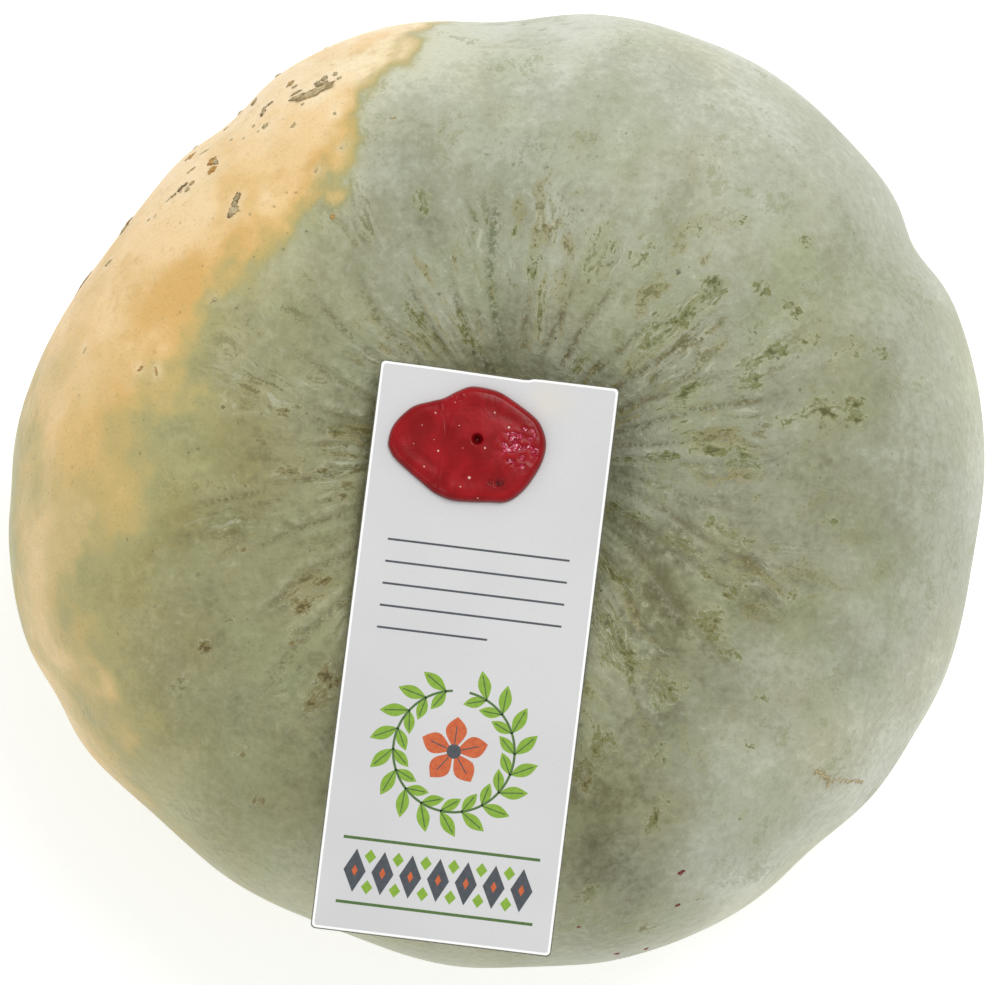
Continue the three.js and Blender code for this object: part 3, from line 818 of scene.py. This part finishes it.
def design():
    """Returns the shapes of each ink, lowest layer first."""
    light, dark, slate, orange, veins = [], [], [], [], []
    middle = (CARD_LEFT + CARD_RIGHT) / 2
    # Plain writing lines
    for row in range(5):
        y = -19.0 - 4.6 * row
        slate.append(box_shape(middle - 19.0, y, middle + (19.0 if row < 4 else 4.0), y + 0.42))
    # The wreath
    cx, cy, radius = middle, -61.0, 12.6
    turns = np.radians(np.linspace(98, 442, 70))
    dark.append(stroke_shape([(cx + radius * math.cos(a), cy + radius * math.sin(a)) for a in turns], 0.5))
    leaves = 17
    for number in range(leaves):
        at = 104 + 340 * number / leaves
        px = cx + radius * math.cos(math.radians(at))
        py = cy + radius * math.sin(math.radians(at))
        light.append(leaf_shape(px, py, at + 42, 6.2, 2.7))
        light.append(leaf_shape(px, py, at + 132, 5.0, 2.3))
        for turn, length in ((at + 42, 5.2), (at + 132, 4.1)):
            c, s = math.cos(math.radians(turn)), math.sin(math.radians(turn))
            vein = [(px + c * length * t, py + s * length * t) for t in (0, 0.5, 1)]
            dark.append(stroke_shape(vein, 0.26))
    for petal in range(5):
        orange.append(leaf_shape(cx, cy, 90 + 72 * petal, 7.2, 4.4, 1.35))
        at = math.radians(90 + 72 * petal)
        vein = [(cx + math.cos(at) * r, cy + math.sin(at) * r) for r in (1.6, 3.4, 5.2)]
        veins.append(stroke_shape(vein, 0.22))
    veins.append(disc_shape(cx, cy, 1.5))
    # The border: two green lines with slate and green diamonds between them
    border_y = -87.9
    diamonds = 7
    spacing = 5.8
    for y in (border_y + 6.7, border_y - 6.7):
        dark.append(box_shape(middle - 20.5, y - 0.3, middle + 20.5, y + 0.3))
    for number in range(diamonds):
        x = middle + spacing * (number - (diamonds - 1) / 2)
        slate.append(diamond_shape(x, border_y, 2.3, 4.5))
        orange.append(diamond_shape(x, border_y, 0.62, 1.2))
        if number < diamonds - 1:
            for y in (border_y + 3.2, border_y - 3.2):
                light.append(diamond_shape(x + spacing / 2, y, 1.2, 1.5))
    return light, dark, slate, orange, veins


def closed_curve(control, per_span):
    """A smooth closed curve through the control points."""
    p = np.array(control, float)
    count = len(p)
    out = []
    for i in range(count):
        a, b, c, d = p[i - 1], p[i], p[(i + 1) % count], p[(i + 2) % count]
        for t in np.arange(per_span) / per_span:
            bend = (2 * a - 5 * b + 4 * c - d) * t**2 + (3 * b - a - 3 * c + d) * t**3
            out.append(0.5 * (2 * b + (c - a) * t + bend))
    return np.array(out)


def wax_mesh():
    """The sealing wax: two flat pours with a rolled edge, a step between them, pits, and a torn place."""
    edge = closed_curve(WAX_OUTLINE, 12)
    middle = np.array(WAX_MIDDLE)
    shares = np.concatenate([1 - np.linspace(0, 1, 22) ** 2 * 0.2, np.linspace(0.79, 0.02, 58)])
    spoke = np.linalg.norm(edge - middle, axis=1)
    flat = middle + shares[:, None, None] * (edge - middle)
    x, y = flat[..., 0], flat[..., 1]
    to_edge = (1 - shares)[:, None] * spoke[None, :]
    roll = np.sqrt(np.clip(1 - (1 - np.clip(to_edge / WAX_EDGE_RADIUS, 0, 1)) ** 2, 0, 1))
    pour_edge = table(y, POUR_EDGE)
    lip = table(y, POUR_LIP)
    second = smooth(x, pour_edge - 0.5, pour_edge + 2.6)
    height = FIRST_POUR_HEIGHT + (SECOND_POUR_HEIGHT - FIRST_POUR_HEIGHT) * second
    lip_ridge = 0.14 * bell((x - lip) / 0.3) * smooth(y, -3.0, 3.0)
    height = height + lip_ridge + 0.16 * bell((x - pour_edge) / 0.24)
    # A slow crown, and a swollen border where the wax was pushed out
    crown = np.exp(-(((x + 6.0) / 9.0) ** 2) - ((y - 2.5) / 7.5) ** 2)
    height = height + WAX_CROWN * crown + 0.12 * bell((to_edge - 2.4) / 1.4)
    level = np.stack([x, y, x * 0], axis=-1)
    height = height + 0.12 * noise_at(level / 5.0, 9)
    torn = bell(((x - TORN_AT[0]) / TORN_SIZE[0]) ** 2 + ((y - TORN_AT[1]) / TORN_SIZE[1]) ** 2)
    rough = noise_at(level / 0.55, 10)
    rougher = noise_at(level / 1.5, 11)
    ragged = torn * smooth(rougher, -0.25, 0.3)
    height = height - ragged * (0.12 + 0.22 * np.abs(rough)) + torn * 0.1 * np.abs(rougher)
    # A later dribble over the lower right
    dribble = ((x - 2.2) / 3.6) ** 2 + ((y + 3.0) / 3.4) ** 2
    height = height + 0.16 * (1 - smooth(dribble, 0.8, 1.15))
    height = height * (0.03 + 0.97 * roll)
    for px, py, radius, depth in PITS:
        away = np.hypot(x - px, y - py) / radius
        height = height - depth * np.exp(-(away**3)) + 0.06 * np.exp(-((away - 1.35) ** 2) / 0.06)
    height = np.clip(height, WAX_FOOT, WAX_HIGHEST)
    height[0] = WAX_FOOT
    points = [card_point(px, py, h) for px, py, h in zip(x.ravel(), y.ravel(), height.ravel())]
    points.append(card_point(middle[0], middle[1], WAX_FOOT))
    points.append(card_point(middle[0], middle[1], float(height[-1].mean())))
    made = make_object("wax_seal_fine", points, capped_faces(len(edge), len(shares)))
    px, py, radius, _ = PITS[0]
    pale_specks = sum(np.exp(-((np.hypot(x - cx, y - cy) / size) ** 4)) for cx, cy, size in WAX_CHIPS)
    masks = {
        "torn": ragged,
        # Painted shade along the seal's rolled edge
        "rim": 1 - smooth(to_edge, 0.05, 0.5),
        "bubbles": np.exp(-(((x - BUBBLES_AT[0]) / 2.0) ** 2) - ((y - BUBBLES_AT[1]) / 0.9) ** 2),
        # Painted shade in the middle pit
        "pit_shade": np.exp(-((np.hypot(x - px, y - py) / radius) ** 3)),
        "pale_specks": np.clip(pale_specks, 0, 1),
    }
    for name, mask in masks.items():
        give(made.data, name, np.append(mask.ravel(), [0, 0]))
    return made


# Materials


class Paint:
    """One material, built from nodes."""

    def __init__(self, name):
        self.material = bpy.data.materials.new(name)
        self.material.use_nodes = True
        self.tree = self.material.node_tree
        self.shader = self.tree.nodes["Principled BSDF"]

    def plug(self, value, socket):
        if isinstance(value, bpy.types.NodeSocket):
            self.tree.links.new(value, socket)
        else:
            socket.default_value = value

    def add(self, kind, inputs=None, **settings):
        made = self.tree.nodes.new(kind)
        for key, value in settings.items():
            setattr(made, key, value)
        for key, value in (inputs or {}).items():
            self.plug(value, made.inputs[key])
        return made

    def calc(self, operation, a, b):
        return self.add("ShaderNodeMath", {0: a, 1: b}, operation=operation).outputs[0]

    def times(self, *values):
        total = values[0]
        for value in values[1:]:
            total = self.calc("MULTIPLY", total, value)
        return total

    def plus(self, *values):
        total = values[0]
        for value in values[1:]:
            total = self.calc("ADD", total, value)
        return total

    def swing(self, value, *shares):
        """A noise about 0, times the shares."""
        return self.times(self.plus(value, -0.5), *shares)

    def step(self, value, low, high, to_low=0.0, to_high=1.0):
        sockets = {0: value, 1: low, 2: high, 3: to_low, 4: to_high}
        return self.add("ShaderNodeMapRange", sockets, interpolation_type="SMOOTHSTEP").outputs[0]

    def band(self, value, low, from_low, to_high, high):
        """1 between the middle two values, and 0 outside the outer two."""
        return self.times(self.step(value, low, from_low), self.step(value, to_high, high, 1.0, 0.0))

    def mix(self, share, a, b, blend="MIX"):
        made = self.add("ShaderNodeMix", {0: share, 6: a, 7: b}, data_type="RGBA", blend_type=blend)
        return made.outputs[2]

    def over(self, under, red, green, blue, *shares):
        """That colour over another, by the product of the shares."""
        return self.mix(self.times(*shares), under, srgb(red, green, blue))

    def attribute(self, name, vector=False):
        made = self.add("ShaderNodeAttribute", attribute_name=name)
        return made.outputs["Vector" if vector else "Fac"]

    def place(self):
        return self.add("ShaderNodeTexCoord").outputs["Object"]

    def vector(self, operation, a, b):
        return self.add("ShaderNodeVectorMath", {0: a, 1: b}, operation=operation).outputs[0]

    def noise(self, where, scale, detail=3.0, rough=0.55, twist=0.0):
        sockets = {"Vector": where, "Scale": scale, "Detail": detail, "Roughness": rough, "Distortion": twist}
        return self.add("ShaderNodeTexNoise", sockets).outputs["Fac"]

    def dots(self, where, scale, size, share, shift, ragged=0.0):
        """Dots, their size in cells, on a share of the cells, with an edge made ragged by a noise about 0."""
        moved = self.vector("ADD", where, (shift, shift * 0.7, shift * 1.3))
        cells = self.add("ShaderNodeTexVoronoi", {"Vector": moved, "Scale": scale}).outputs
        own = self.add("ShaderNodeSeparateColor", {0: cells["Color"]}).outputs
        chosen = self.calc("LESS_THAN", own[0], share)
        sockets = {0: own[1], 1: size, 2: size * 0.5}
        radius = self.add("ShaderNodeMath", sockets, operation="MULTIPLY_ADD").outputs[0]
        soft = self.plus(self.calc("DIVIDE", cells["Distance"], radius), ragged)
        return self.times(self.step(soft, 0.6, 1.1, 1.0, 0.0), chosen)

    def bump(self, height, distance, normal=None, strength=1.0):
        sockets = {"Height": height, "Distance": distance, "Strength": strength}
        if normal is not None:
            sockets["Normal"] = normal
        return self.add("ShaderNodeBump", sockets).outputs[0]

    def finish(self, **sockets):
        for key, value in sockets.items():
            self.plug(value, self.shader.inputs[key.replace("_", " ")])
        return self.material


def skin_paint():
    p = Paint("rind")
    where = p.place()
    around = p.attribute("around", True)
    run = p.attribute("run_mm")
    ripe = p.attribute("ripe")
    scuff = p.attribute("scuff")
    crowd = p.attribute("crowd")
    warmth = p.attribute("warmth")

    # Streaks that run out from the stem: long in the direction of run, narrow across it
    def streaks(across, along, detail, shift):
        long_way = p.add("ShaderNodeCombineXYZ", {"Z": p.plus(p.times(run, along), shift)}).outputs[0]
        stretched = p.vector("MULTIPLY", around, (across, across, 0))
        return p.noise(p.vector("ADD", stretched, long_way), 1.0, detail, 0.55)

    coarse = streaks(15.0, 0.05, 3.0, 11.0)
    thin = streaks(36.0, 0.085, 2.0, 40.0)
    flaky = streaks(66.0, 0.34, 2.0, 70.0)
    mottle = p.noise(where, 130.0, 3.0, 0.65)
    fine = p.noise(where, 520.0, 3.0, 0.65)
    grain = p.noise(where, 1600.0, 2.0, 0.6)

    # The green ground: dark olive in the hollow, pale grey green further out; its dark is partly painted
    # shade, in the hollow under the card and on the -Y side
    tone = p.plus(p.attribute("tone"), p.swing(mottle, 0.6), p.swing(fine, 0.75))
    ground = p.mix(p.step(tone, -0.42, 0.42), srgb(99, 98, 70), srgb(150, 152, 127))
    ground = p.over(ground, 175, 178, 158, p.step(tone, 0.3, 0.9))
    ground = p.over(ground, 206, 209, 193, p.step(tone, 0.8, 1.45))
    yellow = p.mix(1.0, ground, srgb(253, 248, 222), "MULTIPLY")
    ground = p.mix(warmth, ground, yellow)
    ochre = p.mix(1.0, ground, srgb(252, 240, 196), "MULTIPLY")
    ground = p.mix(p.times(p.attribute("yellowing"), 0.85), ground, ochre)
    ground = p.over(ground, 154, 164, 120, p.attribute("leaf"), 0.36)

    # Streaks: olive stains with crisp dark marks in them, and pale flecks beside them that are painted
    # highlights
    streaky = p.attribute("streaky")
    thin_streaky = p.attribute("thin_streaky")
    stain = p.times(p.step(p.plus(coarse, p.swing(fine, 0.5)), 0.49, 0.6), streaky, 0.62)
    ground = p.over(ground, 146, 138, 88, stain)
    rough_edge = p.plus(p.times(fine, 0.62), p.times(grain, 0.34))
    marks = p.times(p.step(p.plus(p.times(coarse, 0.75), rough_edge), 0.94, 1.01), streaky, 0.8)
    ground = p.over(ground, 96, 94, 48, marks)
    thin_marks = p.times(p.step(p.plus(thin, p.swing(grain, 0.5)), 0.56, 0.65), thin_streaky, 0.75)
    ground = p.over(ground, 106, 100, 54, thin_marks)
    # Pale flecks beside the thin marks: painted highlights
    pale = p.times(p.step(p.plus(thin, p.swing(fine, 0.4)), 0.43, 0.35), thin_streaky, 0.55)
    ground = p.over(ground, 190, 192, 168, pale)
    # Pale specks along the streaks: painted highlights
    pale_specks = p.step(p.plus(p.times(coarse, -0.5), rough_edge), 0.33, 0.39)
    pale_specks = p.times(pale_specks, p.plus(p.times(streaky, 0.8), 0.12), 0.4)
    ground = p.over(ground, 200, 202, 180, pale_specks)
    # Painted shade in the groove beside each fold, and a painted highlight along its ridge
    creased = p.times(p.attribute("creases"), p.step(rough_edge, 0.42, 0.54))
    ground = p.over(ground, 92, 84, 46, creased, 0.75)
    ridged = p.times(p.attribute("ridges"), p.step(rough_edge, 0.44, 0.56), 0.2)
    ground = p.over(ground, 200, 200, 178, ridged)
    lined = p.times(p.attribute("green_line"), p.step(rough_edge, 0.42, 0.54))
    ground = p.over(ground, 82, 90, 50, lined, 0.8)
    ground = p.over(ground, 150, 160, 120, p.attribute("furrow"), 0.12)

    # Rubbed places: crisp olive flakes along the streaks, with painted highlights along their edges, and
    # fainter wear all over, also edged with painted highlights
    crumbs = p.plus(p.swing(flaky, 2.0), p.swing(fine, 1.5), p.swing(grain, 1.1))
    spotty = p.plus(scuff, crumbs)
    near_scuff = p.step(scuff, 0.06, 0.3)
    ground = p.mix(p.times(near_scuff, 0.3), ground, p.mix(warmth, srgb(152, 157, 112), srgb(150, 143, 100)))
    # Pale edges round the flakes: painted highlights
    flake_edge_highlight = p.times(p.band(spotty, 0.26, 0.4, 0.46, 0.58), p.step(grain, 0.49, 0.6))
    ground = p.over(ground, 206, 207, 187, flake_edge_highlight, near_scuff, 0.32)
    flakes = p.times(p.step(spotty, 0.5, 0.66), near_scuff)
    rubbed = p.mix(warmth, srgb(113, 118, 67), srgb(124, 112, 66))
    ground = p.mix(p.times(flakes, p.step(fine, 0.4, 0.58, 0.4, 0.85)), ground, rubbed)
    torn = p.mix(warmth, srgb(80, 80, 42), srgb(84, 72, 38))
    ground = p.mix(p.times(p.step(spotty, 0.88, 1.06), near_scuff, 0.8), ground, torn)
    wear = p.plus(p.times(p.attribute("worn"), 0.55), p.times(crumbs, 0.8))
    worn = p.step(p.attribute("worn"), 0.05, 0.5)
    ground = p.over(ground, 136, 139, 96, p.step(wear, 0.36, 0.58), worn, 0.42)
    # Pale edges round the fainter wear: painted highlights
    wear_edge_highlight = p.times(p.band(wear, 0.12, 0.22, 0.27, 0.36), p.step(grain, 0.46, 0.56))
    ground = p.over(ground, 204, 206, 186, wear_edge_highlight, worn, 0.13)

    # The sunny shoulder: through ochre at its edge to orange, peach and cream
    ripe = p.plus(ripe, p.swing(mottle, 0.26, p.step(ripe, 0.0, 0.3)))
    peach = p.mix(p.step(ripe, 0.22, 0.55), srgb(170, 164, 112), srgb(196, 174, 110))
    peach = p.over(peach, 224, 188, 122, p.step(ripe, 0.5, 0.78))
    peach = p.over(peach, 240, 206, 150, p.step(ripe, 0.74, 1.02))
    deep = p.plus(p.attribute("ripe_depth"), p.swing(mottle, 0.5))
    peach = p.over(peach, 217, 174, 100, p.step(deep, 0.1, 1.0), p.step(ripe, 0.4, 0.7), 0.9)
    peach = p.over(peach, 246, 229, 190, p.attribute("cream"), p.step(ripe, 0.3, 0.85), 0.65)
    colour = p.mix(p.step(ripe, 0.02, 0.42), ground, peach)
    tan = p.times(p.step(p.plus(mottle, p.swing(fine, 0.6)), 0.54, 0.72), p.step(ripe, 0.3, 0.8), 0.24)
    colour = p.over(colour, 208, 172, 106, tan)
    halo = p.times(p.attribute("halo"), p.step(mottle, 0.3, 0.6, 0.5, 1.0))
    colour = p.over(colour, 254, 240, 210, halo, p.step(ripe, 0.2, 0.6, 0.15, 0.75))

    # Stretch cracks, the dry button, and specks
    colour = p.over(colour, 130, 112, 72, p.attribute("cracks"), 0.6)
    colour = p.over(colour, 120, 98, 66, p.attribute("button"), 0.85)
    uneven = p.swing(grain, 3.0)
    small_dots = p.times(p.dots(where, 400.0, 0.13, 0.4, 0.0, uneven), crowd)
    dark_dots = p.times(p.dots(where, 190.0, 0.075, 0.42, 1.0, uneven), crowd)
    colour = p.over(colour, 94, 92, 58, small_dots, 0.6)
    colour = p.over(colour, 76, 74, 46, dark_dots, 0.8)
    colour = p.over(colour, 116, 114, 80, p.step(grain, 0.56, 0.72), 0.22)

    # Relief finer than the mesh
    grooves = p.plus(p.times(coarse, streaky, -0.9), p.times(thin, thin_streaky, -0.8))
    height = p.plus(grooves, p.times(mottle, 0.6), p.times(fine, 0.42), p.times(grain, 0.1))
    height = p.plus(height, p.times(flakes, -0.12))
    relief = p.bump(height, 0.0011, None, 0.7)
    rough = p.step(mottle, 0.3, 0.7, 0.42, 0.58)
    p.finish(Base_Color=colour, Roughness=rough, Normal=relief, Specular_IOR_Level=0.3)
    return p.finish(Sheen_Weight=0.06, Sheen_Roughness=0.5)


def scab_paint():
    p = Paint("corky_scab")
    where = p.place()
    darkness = p.attribute("darkness")
    edge = p.attribute("edge")
    grain = p.noise(where, 1700.0, 3.0, 0.65)
    patch = p.noise(where, 560.0, 3.0, 0.6)
    mixed = p.plus(darkness, p.swing(patch, 1.0))
    colour = p.mix(p.step(mixed, 0.0, 0.5), srgb(190, 146, 78), srgb(200, 184, 142))
    colour = p.over(colour, 100, 74, 38, p.step(mixed, 0.7, 1.3))
    rim = p.step(p.plus(edge, p.swing(patch, 0.9)), 0.7, 1.0)
    colour = p.over(colour, 98, 72, 38, rim, p.plus(p.times(darkness, 0.5), 0.2))
    colour = p.over(colour, 218, 204, 166, p.step(grain, 0.5, 0.66), 0.5)
    relief = p.bump(grain, 0.0004, None, 0.8)
    return p.finish(Base_Color=colour, Roughness=0.9, Normal=relief, Specular_IOR_Level=0.2)


def stem_paint():
    p = Paint("corky_stem")
    where = p.place()
    tall = p.vector("MULTIPLY", where, (1.0, 1.0, 0.28))
    fibres = p.noise(tall, 700.0, 5.0, 0.65, 0.4)
    patch = p.noise(where, 160.0, 4.0, 0.6)
    colour = p.mix(p.step(fibres, 0.35, 0.66), srgb(112, 92, 56), srgb(190, 166, 116))
    colour = p.over(colour, 134, 134, 92, p.step(patch, 0.5, 0.7), 0.55)
    relief = p.bump(fibres, 0.0012, None, 0.9)
    return p.finish(Base_Color=colour, Roughness=0.88, Normal=relief, Specular_IOR_Level=0.25)


def card_paint():
    p = Paint("card_face")
    where = p.place()
    fibre = p.noise(where, 1400.0, 3.0, 0.6)
    cloud = p.noise(where, 28.0, 2.0, 0.5)
    colour = p.mix(p.step(cloud, 0.35, 0.65), srgb(206, 206, 207), srgb(211, 211, 211))
    colour = p.over(colour, 196, 197, 198, p.step(fibre, 0.52, 0.7), 0.2)
    # A faint waxy stain above the seal
    at = tuple(v * MM for v in card_point(6.5, 14.0))
    away = p.add("ShaderNodeVectorMath", {0: where, 1: at}, operation="DISTANCE").outputs["Value"]
    blotch = p.plus(away, p.swing(p.noise(where, 260.0, 3.0, 0.6), 0.006))
    stain = p.times(p.step(blotch, 0.001, 0.007, 1.0, 0.0), 0.3)
    colour = p.over(colour, 226, 217, 194, stain)
    dirt = p.dots(where, 190.0, 0.055, 0.1, 2.0)
    colour = p.over(colour, 150, 140, 116, dirt, 0.6)
    relief = p.bump(fibre, 0.00006, None, 0.5)
    return p.finish(Base_Color=colour, Roughness=0.5, Normal=relief, Specular_IOR_Level=0.4)


# A near-white paint for the painted highlight along the card's edge
def card_edge_highlight_paint():
    p = Paint("card_edge_painted_highlight")
    fibre = p.noise(p.place(), 2600.0, 3.0, 0.6)
    colour = p.mix(p.step(fibre, 0.4, 0.65), srgb(255, 255, 254), srgb(248, 248, 246))
    return p.finish(Base_Color=colour, Roughness=0.8, Normal=p.bump(fibre, 0.00008, None, 0.5))


# A dark paint for the painted shadow line along the card's edge
def card_edge_shade_paint():
    p = Paint("card_edge_painted_shade")
    fibre = p.noise(p.place(), 1900.0, 3.0, 0.6)
    colour = p.mix(p.step(fibre, 0.35, 0.65), srgb(84, 84, 72), srgb(122, 120, 104))
    return p.finish(Base_Color=colour, Roughness=0.85, Normal=p.bump(fibre, 0.0001, None, 0.5))


def ink_paint(name, low, high):
    p = Paint(name)
    where = p.place()
    patch = p.noise(where, 900.0, 3.0, 0.6)
    colour = p.mix(p.step(patch, 0.35, 0.65), low, high)
    return p.finish(Base_Color=colour, Roughness=0.45, Normal=p.bump(patch, 0.00003, None, 0.4))


def wax_paint():
    p = Paint("sealing_wax")
    where = p.place()
    torn = p.attribute("torn")
    rim = p.attribute("rim")
    bubbles = p.attribute("bubbles")
    pit_shade = p.attribute("pit_shade")
    cloud = p.noise(where, 170.0, 4.0, 0.6, 0.4)
    colour = p.mix(p.step(cloud, 0.34, 0.66), srgb(131, 6, 11), srgb(155, 13, 22))
    # Painted shade along the seal's rolled edge
    colour = p.over(colour, 104, 5, 10, rim, 0.7)
    scar = p.noise(where, 1100.0, 4.0, 0.7, 1.6)
    inside = p.step(torn, 0.25, 0.6)
    colour = p.over(colour, 206, 36, 78, inside, p.step(scar, 0.42, 0.5), 0.7)
    colour = p.over(colour, 240, 130, 164, inside, p.step(scar, 0.51, 0.57), 0.85)
    colour = p.over(colour, 255, 232, 226, inside, p.step(scar, 0.57, 0.62), 0.95)
    dark = p.times(bubbles, p.step(p.noise(where, 900.0, 2.0), 0.42, 0.6))
    colour = p.over(colour, 60, 8, 8, dark, 0.85)
    # Painted shade in the middle pit
    colour = p.over(colour, 50, 3, 6, pit_shade, 0.8)
    flecks = p.dots(where, 420.0, 0.1, 0.2, 5.0)
    colour = p.over(colour, 226, 120, 120, flecks, 0.35)
    colour = p.over(colour, 240, 206, 196, p.step(p.attribute("pale_specks"), 0.45, 0.8), 0.75)
    relief = p.bump(cloud, 0.0006, None, 0.25)
    relief = p.bump(p.times(inside, scar), 0.0007, relief, 0.9)
    rough = p.plus(p.step(cloud, 0.3, 0.7, 0.22, 0.32), p.times(torn, 0.3))
    p.finish(Base_Color=colour, Roughness=rough, Normal=relief, Specular_IOR_Level=0.19)
    return p.finish(Coat_Weight=0.05, Coat_Roughness=0.15)


def drip_paint():
    p = Paint("wax_drip")
    patch = p.noise(p.place(), 1500.0, 2.0)
    colour = p.mix(p.step(patch, 0.4, 0.6), srgb(110, 30, 28), srgb(142, 34, 34))
    return p.finish(Base_Color=colour, Roughness=0.4)


def floor_paint():
    p = Paint("pale_floor")
    cloud = p.noise(p.place(), 3.0, 2.0)
    colour = p.mix(cloud, srgb(246, 246, 246), srgb(250, 250, 250))
    p.shader.inputs["Emission Color"].default_value = (1, 1, 1, 1)
    p.shader.inputs["Emission Strength"].default_value = FLOOR_GLOW
    return p.finish(Base_Color=colour, Roughness=0.9)


def dress(piece, slot, *materials):
    for material in materials:
        piece.data.materials.append(material)
    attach(piece, "root")
    return piece


# The pieces

skin_piece = fruit_mesh()
dress(skin_piece, "rind", skin_paint())
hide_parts("fruit")

scabs = joined_lumps("corky_scabs", SCABS + scratch_lumps())
dress(scabs, "rind", scab_paint())

drips = joined_lumps("wax_drips", [(a, d, size * 1.3, size, 0.35, 0, 0) for a, d, size in WAX_DRIPS])
dress(drips, "wax", drip_paint())

stump = stem_mesh()
dress(stump, "stem", stem_paint())
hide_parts("stem")

board = card_mesh()
dress(board, "card", card_paint(), card_edge_highlight_paint(), card_edge_shade_paint())
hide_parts("card")

inks = {
    "print_light_green": (srgb(122, 162, 36), srgb(132, 172, 46)),
    "print_dark_green": (srgb(66, 100, 40), srgb(78, 110, 46)),
    "print_slate": (srgb(60, 66, 72), srgb(70, 76, 82)),
    "print_orange": (srgb(190, 84, 36), srgb(204, 98, 46)),
    "print_veins": (srgb(60, 66, 72), srgb(70, 76, 82)),
}
for level, (shapes, (name, colours)) in enumerate(zip(design(), inks.items())):
    dress(ink(name, shapes, level), "card", ink_paint(name, *colours))

seal = wax_mesh()
dress(seal, "wax", wax_paint())
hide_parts("wax_seal")

# The floor, the light and the camera

floor_corners = [(x * FLOOR_REACH, y * FLOOR_REACH, 0) for x, y in ((-1, -1), (1, -1), (1, 1), (-1, 1))]
floor = make_object("floor", floor_corners, [(0, 1, 2, 3)], False)
floor.data.materials.append(floor_paint())

world = bpy.data.worlds.new("studio")
world.use_nodes = True
world.node_tree.nodes["Background"].inputs["Color"].default_value = (1.0, 1.0, 1.0, 1.0)
world.node_tree.nodes["Background"].inputs["Strength"].default_value = SKY_STRENGTH
bpy.context.scene.world = world


def soft_light(name, at, size, power):
    data = bpy.data.lights.new(name, "AREA")
    data.shape = "DISK"
    data.size = size
    data.energy = power
    lamp = bpy.data.objects.new(name, data)
    lamp.location = at
    lamp.rotation_euler = (-Vector(at)).to_track_quat("-Z", "Y").to_euler()
    bpy.context.scene.collection.objects.link(lamp)


soft_light("overhead", (0.55, 0.75, 1.75), 1.1, 16.0)
soft_light("fill", (-1.3, -0.6, 1.5), 1.4, 5.0)

CAMERA_DISTANCE = 1.5
CAMERA_TILT = math.radians(4.0)
CAMERA_LENS = 259.74
AIM = Vector(((STEM_AT[0] - 2.29) * MM, (STEM_AT[1] - 6.15) * MM, 0.1194))
lens = bpy.data.cameras.new("camera")
lens.sensor_width = 36.0
lens.lens = CAMERA_LENS
lens.clip_start = 0.05
lens.clip_end = 20.0
camera = bpy.data.objects.new("camera", lens)
camera.location = AIM + CAMERA_DISTANCE * Vector((0.0, -math.sin(CAMERA_TILT), math.cos(CAMERA_TILT)))
camera.rotation_euler = (CAMERA_TILT, 0.0, 0.0)
bpy.context.scene.collection.objects.link(camera)
bpy.context.scene.camera = camera
bpy.context.scene.view_settings.view_transform = "Standard"
